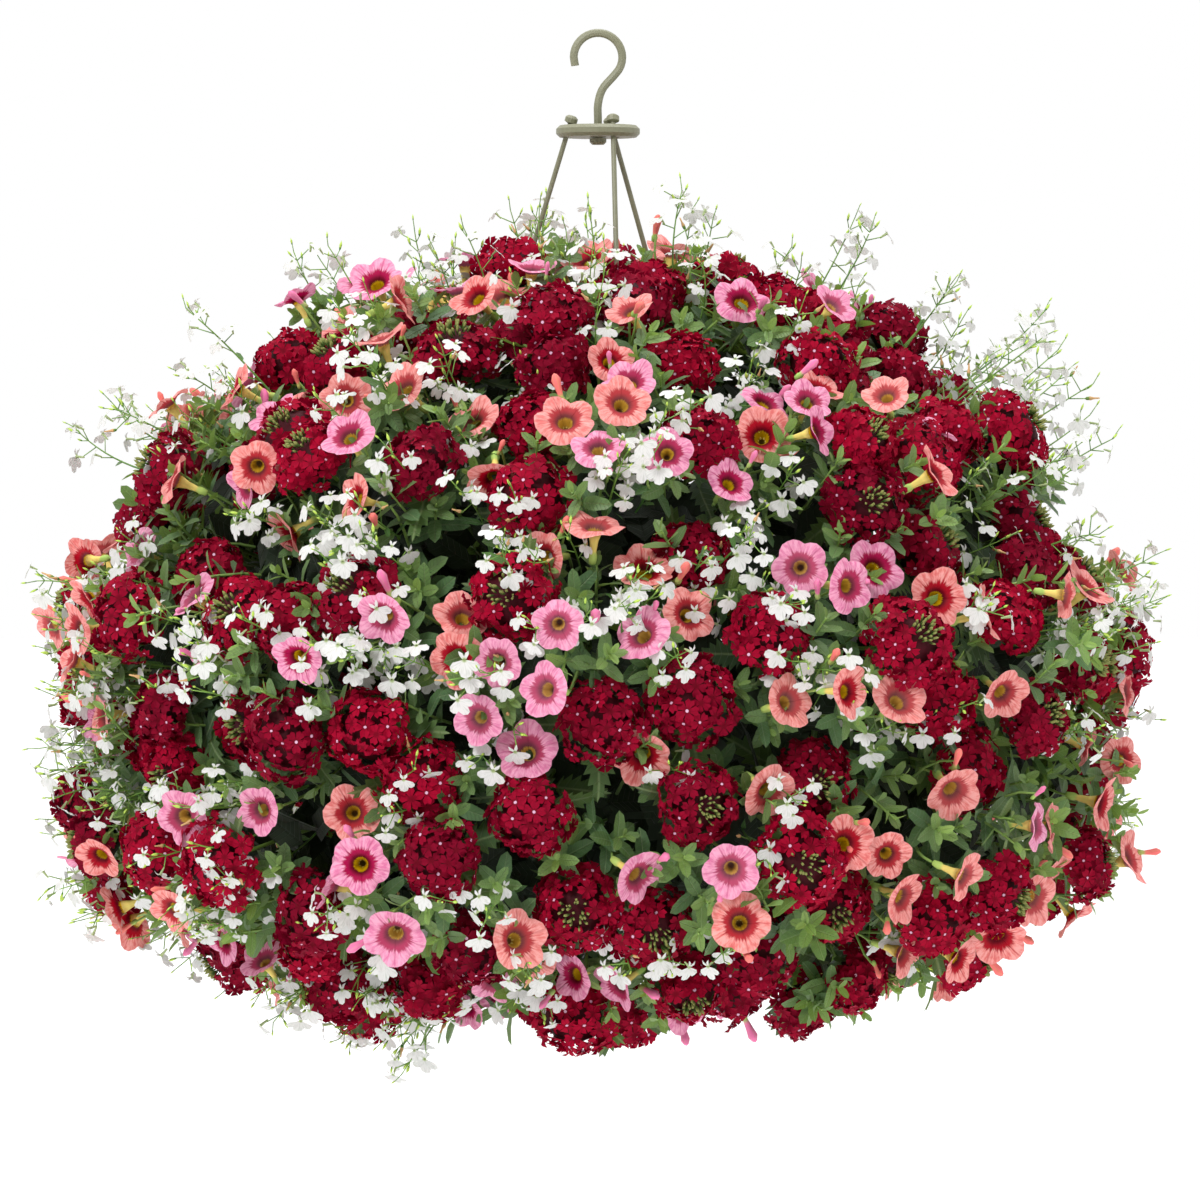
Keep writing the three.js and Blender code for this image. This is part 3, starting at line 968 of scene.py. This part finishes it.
def lobelia_petal(look):
    # Fresh lobelia petal, grown. White sheets, greyed as painted shade along creases and in the greenish
    # throat.
    paint = Paint("lobelia_petal_white", Roughness=0.55, IOR=1.38)
    add = paint.add
    _, row, u, v, _ = paint.tiles()
    far, round_by = paint.round_place(u, v)
    fine = add("CombineXYZ", round_by, add("Math:MULTIPLY", far, 0.3), row)
    streak = add("TexNoise", fine, 7.0, 2.0)
    # Painted shade: grey streaks along the creases.
    tone = add(MIX, add("Math:MULTIPLY", add(SMOOTH, streak, 0.45, 0.7), 0.5), look.petal, look.vein)
    # The throat: a lime green of its own, mixed with the painted grey shade.
    deep = add(MIX, 0.5, look.vein, look.bud)
    tone = add(MIX, add(SMOOTH, far, 0.2, 0.06), tone, deep)
    return paint.thin(tone, tone, 0.3)


def leaf(name, top, young, gloss, hue_shift, through=0.3):
    # Living leaf, grown. Waxy above and matt between its veins, lighter along the midrib; the
    # young ones at a tip are yellower, and light from behind turns all of them bright.
    paint = Paint(name, Roughness=gloss, IOR=1.42, Sheen_Weight=0.1, Sheen_Roughness=0.5)
    add = paint.add
    column, row, u, v, big = paint.tiles()
    tone = add(MIX, add("Math:MULTIPLY", row, 0.3), top, young)
    tone = add(MIX, add("Math:MULTIPLY", column, 0.16), tone, hue_shift)
    off = add("Math:ABSOLUTE", add("Math:SUBTRACT", v, 0.5))
    rib = add(SMOOTH, off, 0.055, 0.0)
    side = add("Math:MULTIPLY_ADD", off, -9.0, add("Math:MULTIPLY", u, 26.0))
    veins = add(SMOOTH, add("Math:ABSOLUTE", add("Math:SINE", side)), 0.28, 0.0)
    pale = add(MIX, 0.45, tone, linear("#a9bd84")) if through > 0.1 else tone
    tone = add(MIX, add("Math:MULTIPLY", rib, 0.8), tone, pale)
    tone = add(MIX, add("Math:MULTIPLY", veins, 0.28), tone, pale)
    blotch = add("TexNoise", big, 5.0, 2.0)
    tone = add(MIX, add("Math:MULTIPLY", blotch, 0.35), tone, add(MIX, 0.5, tone, linear("#16240f")))
    paint.relief(add("Math:MULTIPLY", add("Math:ADD", rib, veins), -1.0), 0.35)
    return paint.thin(tone, add(MIX, 0.6, tone, linear("#9fc23a")), through)


def stalk(name, base, tip):
    # Living stem, grown. Slightly glossy, darker and redder near the root than at the tip.
    paint = Paint(name, Roughness=0.45, IOR=1.42)
    add = paint.add
    along, tone, _ = add("SeparateXYZ", add("UVMap", uv_map="surface")).node.outputs
    blend = add("Math:MULTIPLY_ADD", tone, 0.35, add("Math:MULTIPLY", along, 0.65))
    return paint.solid(add(MIX, blend, base, tip))


def banded(name, low, high, split, fine):
    # Living bud or calyx, grown. Green at its foot and the flower's colour above a soft line.
    paint = Paint(name, Roughness=0.65, IOR=1.4, Specular_IOR_Level=0.2)
    add = paint.add
    column, _, u, v, _ = paint.tiles()
    tone = add(MIX, add(SMOOTH, v, split - 0.08, split + 0.08), low, high)
    lines = add(SMOOTH, add("Math:SINE", add("Math:MULTIPLY", u, 6.28 * fine)), 0.2, 0.9)
    tone = add(MIX, add("Math:MULTIPLY", lines, 0.3), tone, add(MIX, 0.5, tone, low))
    tone = add(MIX, add("Math:MULTIPLY", column, 0.12), tone, add(MIX, 0.5, tone, high))
    return paint.solid(tone)


def moulded_plastic(name, tone, wear):
    # Polypropylene, moulded. An even satin with a fine grain from the mould and dusty wear.
    paint = Paint(name, Roughness=0.5, IOR=1.49)
    add = paint.add
    place = add("TexCoord").node.outputs["Object"]
    dust = add("TexNoise", place, 45.0, 4.0, 0.6)
    shade = add(MIX, add("Math:MULTIPLY", add(SMOOTH, dust, 0.45, 0.75), 0.4), tone, wear)
    grain = add("TexNoise", place, 1400.0, 2.0)
    rough = add("Math:MULTIPLY_ADD", dust, 0.25, 0.36)
    paint.tree.links.new(rough, paint.shader.inputs["Roughness"])
    paint.relief(grain, 0.08)
    return paint.solid(shade)


def damp_mix(tone):
    # Peat and bark, sieved and watered. Dark, matt crumbs of a few millimetres with paler fibres.
    paint = Paint("potting_mix_damp", Roughness=0.95, IOR=1.33)
    add = paint.add
    place = add("TexCoord").node.outputs["Object"]
    crumbs = add("TexVoronoi", {"Vector": place, "Scale": 330.0})
    fibres = add("TexNoise", place, 260.0, 5.0, 0.7)
    shade = add(MIX, add(SMOOTH, fibres, 0.5, 0.75), tone, linear("#6a4d35"))
    paint.relief(add("Math:ADD", crumbs, fibres), 2.0)
    return paint.solid(shade)


# ---------------------------------------------------------------- pieces

class BASKET_OT_holder(bpy.types.Operator):
    """Finishes the hook, hub, rods, pot and potting mix"""

    bl_idname = "basket.holder"
    bl_label = "Holder and Potting Mix"
    bl_options = {"REGISTER", "UNDO"}

    def execute(self, context):
        look = context.scene.basket_holder
        coated = moulded_plastic("hanger_coated_wire", look.rod, linear("#95937c"))
        pot = moulded_plastic("pot_moulded_polypropylene", look.pot, linear("#66705c"))
        for name, ob in frame["nodes"].items():
            if name.startswith("hanger_"):
                ob.material_slots[0].material = coated
        frame["nodes"]["pot"].material_slots[0].material = pot
        frame["nodes"]["potting_mix"].material_slots[0].material = damp_mix(look.mix)
        return {"FINISHED"}


class BASKET_OT_verbena(bpy.types.Operator):
    """Grows the verbena: florets on domed heads, bud centres, toothed leaves and stems"""

    bl_idname = "basket.verbena"
    bl_label = "Verbena"
    bl_options = {"REGISTER", "UNDO"}

    def execute(self, context):
        look, rng = context.scene.basket_verbena, random.Random(5)
        heads = {"upper": Spots(), "lower": Spots()}
        cores, buds, leaves, paths = Spots(), Spots(), Spots(), Paths()
        for point, way in bloom_plan()["verbena"]:
            facing = (way + UP * 0.12 + wander(rng, 0.16)).normalized()
            size = rng.uniform(0.84, 1.12)
            seat = point - facing * (14 * MM + rng.uniform(0, 7 * MM))
            budding = rng.random() < 0.36
            half = "upper" if point.z > mass_centre().z + 20 * MM else "lower"
            turn = aim(facing, wander(rng, 1.0))
            heads[half].add(seat, turn, size, rng.randrange(TILES), 0.9 if budding else 1.0)
            cores.add(seat - facing * 2 * MM, turn, size, rng.randrange(16))
            if budding:
                self.add_buds(buds, rng, seat, facing, size)
            self.add_leaves(leaves, rng, seat, facing)
            foot = point - way * 95 * MM + wander(rng, 0.008)
            paths.add(arc(foot, seat - way * 45 * MM, seat, 4), 1.3 * MM, 1.0 * MM, rng.random())
        self.build(look, heads, cores, buds, leaves, paths)
        return {"FINISHED"}

    def add_buds(self, buds, rng, seat, facing, size):
        """A tuft of unopened buds in the middle of a young head."""
        for k in range(26):
            share = math.sqrt((k + 0.5) / 26) * 0.42
            turn = k * GOLDEN_ANGLE
            side = aim(facing, UP) @ Vector((math.cos(turn), math.sin(turn), 0))
            lean = (facing + side * share * 1.1 + wander(rng, 0.06)).normalized()
            length = rng.uniform(0.5, 0.75)
            buds.add(seat + lean * 16.5 * MM * size, aim(lean, UP), length, rng.randrange(16))

    def add_leaves(self, leaves, rng, seat, facing):
        """Pairs of leaves below a head, each pair square to the last."""
        first = rng.uniform(0, math.pi)
        hang = UP * min(0, facing.z + 0.25) * 1.4
        for pair in range(3 if hang.z else 2):
            for side in (0, math.pi):
                turn = first + side + pair * math.pi / 2
                sideways = aim(facing, UP) @ Vector((math.cos(turn), math.sin(turn), 0))
                growth = sideways + facing * rng.uniform(-0.1, 0.55) + hang + wander(rng, 0.12)
                growth.normalize()
                foot = seat - facing * (14 + 13 * pair) * MM
                normal = across(facing + wander(rng, 0.2), growth)
                leaves.add(foot, aim(normal, growth), rng.uniform(0.7, 1.12), rng.randrange(8))

    def build(self, look, heads, cores, buds, leaves, paths):
        size = look.floret / MM
        petal = verbena_petal(look)
        young = banded("verbena_bud_green", linear("#46632a"), linear("#83864c"), 0.62, 4)
        for half, spots in heads.items():
            kinds = [floret(f"floret_{k}", size, 0.35 + 0.5 * k, 0.25 + 0.2 * k) for k in range(4)]
            extra = {"Florets": look.florets, "Radius": look.head, "Dome": look.dome}
            scattered(
                f"verbena_florets_{half}", spots, kinds, petal, "verbena", 180, 32, 32, 3, head_tree(),
                Flatness=0.74, Spread=0.86, **extra,
            )
        dome = [(-14, 0), (-10, 3), (-3, 13), (4, 17), (11, 14), (14.5, 8), (15.5, 0)]
        # Painted shade: the dome under the florets is near black green and dark crimson, so the gaps between
        # florets read as shadow.
        core = banded("verbena_calyx_dark", linear("#101a0a"), linear("#3c0310"), 0.3, 6)
        scattered("verbena_calyces", cores, [spindle("core", 8, dome)], core, "verbena", 180)
        bud = spindle("bud", 4, [(-4, 0), (0, 0.9), (5, 1.3), (7.6, 0)])
        scattered("verbena_buds", buds, [bud], young, "foliage", 180, 12, 12)
        tops = [toothed(f"toothed_{k}", look.leaf / MM, 12 - k, 6, 0.12 + 0.12 * k) for k in range(3)]
        green = leaf("verbena_leaf_hairy", look.green, look.light, 0.6, linear("#27402c"))
        scattered("verbena_leaves", leaves, tops, green, "foliage", 0, 16, 12)
        stem = stalk("verbena_stem", linear("#33451f"), look.light)
        stems("verbena_stems", paths, 5, stem)


class BASKET_OT_calibrachoa(bpy.types.Operator):
    """Grows the calibrachoa: coral and pink flowers, tubes, closed buds and stems"""

    bl_idname = "basket.calibrachoa"
    bl_label = "Calibrachoa"
    bl_options = {"REGISTER", "UNDO"}

    def execute(self, context):
        look, rng = context.scene.basket_calibrachoa, random.Random(9)
        flowers = {"coral": Spots(), "pink": Spots()}
        tubes, paths = Spots(), Paths()
        buds = {"coral": Spots(), "pink": Spots()}
        for kind in flowers:
            for point, way in bloom_plan()["calibrachoa_" + kind]:
                facing = (way + UP * 0.05 + wander(rng, 0.34)).normalized()
                seat = point + way * rng.uniform(-7, 8) * MM
                turn = aim(facing, wander(rng, 1.0))
                size = rng.uniform(0.88, 1.1)
                flowers[kind].add(seat, turn, size, rng.randrange(16))
                tubes.add(seat - facing * 4.5 * MM, turn, size, rng.randrange(16))
                foot = seat - facing * 22 * MM
                root = point - way * 60 * MM + wander(rng, 0.01)
                paths.add(arc(root, foot - way * 15 * MM, foot, 4), 1.1 * MM, 0.7 * MM, rng.random())
                if rng.random() < 0.55:
                    self.add_bud(buds[kind], paths, rng, point, way)
        self.build(look, flowers, tubes, buds, paths)
        return {"FINISHED"}

    def add_bud(self, buds, paths, rng, point, way):
        """A closed flower beside an open one, on a stalk of its own."""
        beside = across(wander(rng, 1.0), way)
        seat = point + beside * rng.uniform(14, 20) * MM + way * rng.uniform(-4, 6) * MM
        lean = (way + beside * 0.5 + UP * 0.2 + wander(rng, 0.2)).normalized()
        buds.add(seat, aim(lean, UP), rng.uniform(0.55, 1.05), rng.randrange(16))
        bow = arc(point - way * 40 * MM, seat - way * 18 * MM, seat, 3)
        paths.add(bow, 0.9 * MM, 0.6 * MM, rng.random())

    def build(self, look, flowers, tubes, buds, paths):
        radius = look.flower / MM
        tones = {
            "coral": ("calibrachoa_petal_coral", look.coral, look.coral_light, look.coral_eye),
            "pink": ("calibrachoa_petal_pink", look.pink, look.pink_light, look.pink_eye),
        }
        for kind, (name, body, pale, eye) in tones.items():
            discs = [corolla(f"corolla_{k}", radius, 20 + k) for k in range(6)]
            petal = calibrachoa_petal(name, body, pale, eye, look.throat)
            slot = "calibrachoa_" + kind
            scattered(f"calibrachoa_flowers_{kind}", flowers[kind], discs, petal, slot, 180)
            closed = [(-9, 0), (-8, 1.7), (-5, 2.0), (-4, 1.5), (2, 2.1), (7, 2.9), (10, 1.5), (11, 0)]
            bud = spindle("bud", 6, closed)
            skin = banded(f"calibrachoa_bud_{kind}", look.light, body, 0.32, 5)
            scattered(f"calibrachoa_buds_{kind}", buds[kind], [bud], skin, slot, 180, 10, 10)
        funnel = [(-18, 0), (-17, 1.9), (-13, 2.4), (-11, 1.7), (-5, 2.3), (0, 3.9), (-5.6, 1.7), (-8, 0)]
        tube = spindle("tube", 7, funnel)
        skin = banded("calibrachoa_tube", look.light, linear("#d9c26a"), 0.4, 7)
        scattered("calibrachoa_tubes", tubes, [tube], skin, "foliage", 180)
        stem = stalk("calibrachoa_stem", linear("#3c5424"), look.light)
        stems("calibrachoa_stems", paths, 5, stem)


class BASKET_OT_foliage(bpy.types.Operator):
    """Grows the calibrachoa's leafy shoots between the flowers, and leaves behind them painted dark as shade
    """

    bl_idname = "basket.foliage"
    bl_label = "Leafy Shoots"
    bl_options = {"REGISTER", "UNDO"}

    def execute(self, context):
        look, rng = context.scene.basket_calibrachoa, random.Random(17)
        leaves, inner, paths = Spots(), Spots(), Paths()
        packing, heads = Packing(40 * MM), Packing(60 * MM)
        for point, _ in bloom_plan()["verbena"]:
            heads.take(point, 13 * MM)
        for _ in range(12000):
            way = any_direction(rng, SKIRT)
            found = crown_at(way)
            if not found:
                continue
            radius = 11 * MM
            if packing.free(found[0], radius, 1.0) and heads.free(found[0], radius, 1.0):
                packing.take(found[0], radius)
                self.add_shoot(leaves, paths, rng, found[0], way)
        for _ in range(2600):
            way = any_direction(rng, SKIRT - 4)
            found = crown_at(way)
            point = found[0] if found else mass_centre() + way * GAP_BACKING
            self.add_backing(inner, rng, point, way)
        ovals = [blade(f"oval_{k}", look.leaf / MM, 4.1, 4, 0.24, 0.05 + 0.1 * k) for k in range(3)]
        green = leaf("calibrachoa_leaf_downy", look.green, look.light, 0.42, linear("#41633f"))
        scattered("calibrachoa_leaves", leaves, ovals, green, "foliage", 0, 14, 10)
        broad = [blade("broad", 30, 8.5, 3, 0.15, 0.2)]
        # Painted shade: the leaves deep inside are near black green and let almost no light through, so gaps
        # read as shadow.
        dark = leaf("inner_leaf_shaded", linear("#12200f"), linear("#1a2c15"), 0.75, linear("#0f1b0e"), 0.03)
        scattered("inner_leaves", inner, broad, dark, "foliage", 20, 20, 20)
        stems("leafy_stems", paths, 4, stalk("leafy_stem", linear("#3c5424"), look.light))
        return {"FINISHED"}

    def add_shoot(self, leaves, paths, rng, point, way):
        """A short stem whose leaves stand round it in a spiral and crowd at its tip."""
        lean = (way + UP * 0.1 + wander(rng, 0.33)).normalized()
        tip = point + lean * rng.uniform(-19, 0) * MM
        length_mm = rng.uniform(24, 36)
        foot = tip - lean * length_mm * MM
        paths.add(arc(foot - way * 12 * MM, foot, tip, 3), 1.0 * MM, 0.7 * MM, rng.random())
        number, first = 11, rng.uniform(0, 6)
        tone = rng.randrange(TILES)
        square = aim(lean, UP)
        for k in range(number):
            share = k / (number - 1)
            turn = first + k * GOLDEN_ANGLE
            sideways = square @ Vector((math.cos(turn), math.sin(turn), 0))
            growth = (sideways * (1 - 0.45 * share) + lean * (0.25 + 0.75 * share**2)).normalized()
            place = foot.lerp(tip, share**0.8)
            size = (1.08 - 0.62 * share**2) * rng.uniform(0.85, 1.1)
            age = min(3, int(share * 3.4))
            leaves.add(place, aim(across(lean, growth), growth), size, tone + TILES * age)

    def add_backing(self, inner, rng, point, way):
        place = point - way * rng.uniform(42, 85) * MM
        growth = across(wander(rng, 1.0), way)
        normal = (way + wander(rng, 0.35)).normalized()
        growth = across(growth, normal)
        inner.add(place - growth * 12 * MM, aim(normal, growth), rng.uniform(0.9, 1.35), rng.randrange(16))


class BASKET_OT_lobelia(bpy.types.Operator):
    """Grows the lobelia: fine branching sprays with flowers, buds, spent flowers and leaves"""

    bl_idname = "basket.lobelia"
    bl_label = "Lobelia"
    bl_options = {"REGISTER", "UNDO"}

    def execute(self, context):
        look, rng = context.scene.basket_lobelia, random.Random(23)
        parts = {name: Spots() for name in ("flowers", "buds", "spent", "leaves")}
        paths = Paths()
        for point, way in bloom_plan()["lobelia"]:
            for _ in range(1 + (rng.random() < 0.6)):
                self.add_spray(parts, paths, rng, point + wander(rng, 0.008), way)
        self.build(look, parts, paths)
        return {"FINISHED"}

    def add_spray(self, parts, paths, rng, point, way):
        """One stem that grows past the crown, with flowers on short stalks towards its tip."""
        lean = (way + UP * rng.uniform(0.0, 0.45) + wander(rng, 0.3)).normalized()
        length_mm = rng.uniform(48, 92)
        reach = rng.uniform(4, 22)
        if rng.random() < 0.3 and way.z > 0.25:
            reach += rng.uniform(10, 34)
        tip = point + lean * reach * MM
        beyond = Vector((tip.x, tip.y)).length - SPRIG_REACH
        if beyond > 0:
            tip -= Vector((tip.x, tip.y, 0)).normalized() * beyond
        foot = tip - (way * 0.8 + lean * 0.2) * length_mm * MM
        bow = foot.lerp(tip, 0.55) + across(wander(rng, 1.0), lean) * rng.uniform(4, 12) * MM
        line = arc(foot, bow, tip, 9)
        paths.add(line, 0.75 * MM, 0.35 * MM, rng.random())
        side = rng.uniform(0, 6)
        for k, place in enumerate(line):
            turn = side + k * 2.4
            sideways = aim(lean, UP) @ Vector((math.cos(turn), math.sin(turn), 0))
            if k in (1, 3):
                self.add_leaf(parts["leaves"], rng, place, sideways, lean)
            elif k in (4, 5, 6, 7, 8):
                self.add_flower(parts, paths, rng, place, sideways, lean, way)
            if k in (7, 8):
                self.add_bud(parts["buds"], paths, rng, place, -sideways, lean, 0.75)
        self.add_bud(parts["buds"], paths, rng, tip, lean, lean, 0.55)

    def add_leaf(self, leaves, rng, place, sideways, lean):
        growth = (sideways + lean * 0.6 + wander(rng, 0.1)).normalized()
        leaves.add(place, aim(across(lean, growth), growth), rng.uniform(0.7, 1.1), rng.randrange(16))

    def add_flower(self, parts, paths, rng, place, sideways, lean, way):
        """A flower on its stalk, facing outwards with its lower lip hanging."""
        end = place + (sideways * 0.9 + lean * 0.5).normalized() * rng.uniform(7, 12) * MM
        paths.add([place, end], 0.4 * MM, 0.35 * MM, rng.random())
        facing = (way * 0.9 + sideways * 0.5 + wander(rng, 0.25)).normalized()
        if rng.random() < 0.1:
            parts["spent"].add(end, aim(facing, -UP), rng.uniform(0.7, 1.0), rng.randrange(16))
            return
        down = (-UP + wander(rng, 0.22)).normalized()
        place = end + facing * 4 * MM
        parts["flowers"].add(place, aim(facing, down), rng.uniform(0.82, 1.12), rng.randrange(16))

    def add_bud(self, buds, paths, rng, place, sideways, lean, size):
        end = place + (sideways * 0.6 + lean * 0.7).normalized() * rng.uniform(4, 8) * MM
        paths.add([place, end], 0.35 * MM, 0.3 * MM, rng.random())
        turn = aim(lean + sideways * 0.4, UP)
        buds.add(end, turn, size * rng.uniform(0.8, 1.2), rng.randrange(16))

    def build(self, look, parts, paths):
        petal = lobelia_petal(look)
        size = look.flower / MM
        faces = [lip(f"lip_{k}", size * (0.95 + 0.07 * k), 0.6 * k - 0.8) for k in range(3)]
        scattered("lobelia_flowers", parts["flowers"], faces, petal, "lobelia", 14, 18, 18)
        drop = [(-1, 0), (1, 0.8), (4, 1.1), (7.2, 0)]
        skin = banded("lobelia_bud_lime", look.stem, look.bud, 0.35, 3)
        scattered("lobelia_buds", parts["buds"], [spindle("drop", 4, drop)], skin, "foliage", 180, 10, 10)
        husk = [(-1, 0), (0, 1.0), (2.5, 1.3), (5, 0.6), (8, 0.5), (8.6, 0)]
        dry = banded("lobelia_spent_papery", look.stem, look.spent, 0.3, 3)
        scattered("lobelia_spent", parts["spent"], [spindle("husk", 5, husk)], dry, "foliage", 180, 20, 20)
        narrow = [blade(f"narrow_{k}", look.leaf / MM, 2.3, 3, 0.2, 0.1 + 0.1 * k) for k in range(2)]
        green = leaf("lobelia_leaf", linear("#3f6a35"), look.stem, 0.5, linear("#568440"))
        scattered("lobelia_leaves", parts["leaves"], narrow, green, "foliage", 0, 14, 14)
        stem = stalk("lobelia_stem", linear("#3d6b2c"), linear("#86ae4a"))
        stems("lobelia_stems", paths, 3, stem)


class BASKET_OT_stage(bpy.types.Operator):
    """Sets the pale floor, the soft studio light and the camera"""

    bl_idname = "basket.stage"
    bl_label = "Stage"
    bl_options = {"REGISTER", "UNDO"}

    def execute(self, context):
        look = context.scene.basket_stage
        self.add_floor(look)
        self.add_lights(context.scene)
        self.add_camera(context.scene, look)
        context.scene.view_settings.view_transform = "Standard"
        return {"FINISHED"}

    def add_floor(self, look):
        radius, sides = 14.0, 64
        z = CAD_BOX[0].z - look.floor_drop
        mesh = bpy.data.meshes.new("studio_floor")
        rim = [polar(radius, 360 * k / sides, z) for k in range(sides)]
        mesh.from_pydata(rim, [], [tuple(range(sides))])
        floor = linked("studio_floor", mesh)
        paint = Paint("studio_floor_painted", Roughness=0.9)
        paint.shader.inputs["Base Color"].default_value = linear("#ffffff")
        floor.data.materials.append(paint.material)

    def add_lights(self, scene):
        world = bpy.data.worlds.new("studio_light")
        world.use_nodes = True
        tree = world.node_tree
        sky = tree.nodes["Background"]
        way = node(tree, "ShaderNodeTexCoord").outputs["Generated"]
        _, deep, high = node(tree, "ShaderNodeSeparateXYZ", way).outputs
        sweep = node(tree, "ShaderNode" + SMOOTH, deep, -0.7, 0.25, 0.22, 1.0)
        roof = node(tree, "ShaderNode" + SMOOTH, high, 0.15, 0.9)
        glow = node(tree, "ShaderNodeMath:MULTIPLY_ADD", roof.outputs[0], 0.7, sweep.outputs[0])
        sky.inputs[0].default_value = (1, 1, 1, 1)
        tree.links.new(glow.outputs[0], sky.inputs[1])
        scene.world = world
        panels = (
            ("key_panel", Vector((-1.5, -2.5, 1.7)), 1.0, 78),
            ("fill_panel", Vector((1.9, -2.2, 0.4)), 1.6, 12),
            ("top_panel", Vector((0.2, 0.3, 2.2)), 1.4, 34),
        )
        for name, place, size, watts in panels:
            light = bpy.data.lights.new(name, "AREA")
            light.size, light.energy = size, watts
            ob = bpy.data.objects.new(name, light)
            ob.location = place
            ob.rotation_mode = "QUATERNION"
            ob.rotation_quaternion = (mass_centre() - place).to_track_quat("-Z", "Y")
            scene.collection.objects.link(ob)

    def add_camera(self, scene, look):
        data = bpy.data.cameras.new("camera")
        data.lens = data.sensor_width / 2 / (look.width / 2 / look.distance)
        data.clip_end = 60
        camera = bpy.data.objects.new("camera", data)
        target = Vector((0.0012, 0, -0.336))
        back = Vector((0, -math.cos(look.elevation), math.sin(look.elevation)))
        camera.location = target + back * look.distance
        camera.rotation_mode = "QUATERNION"
        camera.rotation_quaternion = (-back).to_track_quat("-Z", "Y")
        scene.collection.objects.link(camera)
        scene.camera = camera


OPERATORS = (
    BASKET_OT_holder,
    BASKET_OT_verbena,
    BASKET_OT_calibrachoa,
    BASKET_OT_foliage,
    BASKET_OT_lobelia,
    BASKET_OT_stage,
)


class BASKET_PT_panel(bpy.types.Panel):
    """Lists the basket's settings and the operators that make it"""

    bl_idname = "BASKET_PT_panel"
    bl_label = "Mixed Hanging Basket"
    bl_space_type = "VIEW_3D"
    bl_region_type = "UI"
    bl_category = "Basket"

    def draw(self, context):
        for operator in OPERATORS:
            self.layout.operator(operator.bl_idname)
        for name, group in GROUPS.items():
            box = self.layout.box()
            box.label(text=name.replace("_", " ").title())
            for key in group.__annotations__:
                box.prop(getattr(context.scene, name), key)


def register():
    for group in GROUPS.values():
        bpy.utils.register_class(group)
    for operator in OPERATORS:
        bpy.utils.register_class(operator)
    bpy.utils.register_class(BASKET_PT_panel)
    for name, group in GROUPS.items():
        setattr(bpy.types.Scene, name, bpy.props.PointerProperty(type=group))


def unregister():
    for name in GROUPS:
        delattr(bpy.types.Scene, name)
    bpy.utils.unregister_class(BASKET_PT_panel)
    for operator in reversed(OPERATORS):
        bpy.utils.unregister_class(operator)
    for group in reversed(GROUPS.values()):
        bpy.utils.unregister_class(group)


def stand_for_shoots():
    """Hides each species' plain shoot solids, which the grown pieces stand in for."""
    stands = {
        "verbena": "verbena_florets_lower",
        "calibrachoa_coral": "calibrachoa_flowers_coral",
        "calibrachoa_pink": "calibrachoa_flowers_pink",
        "lobelia": "lobelia_flowers",
    }
    for species, piece in stands.items():
        nodes = [name for name in SHOOTS if name.startswith(species + "_shoot_")]
        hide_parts(*nodes)


def main():
    register()
    for operator in OPERATORS:
        group, name = operator.bl_idname.split(".")
        getattr(getattr(bpy.ops, group), name)()
    stand_for_shoots()
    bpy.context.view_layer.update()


if __name__ == "__main__":
    main()
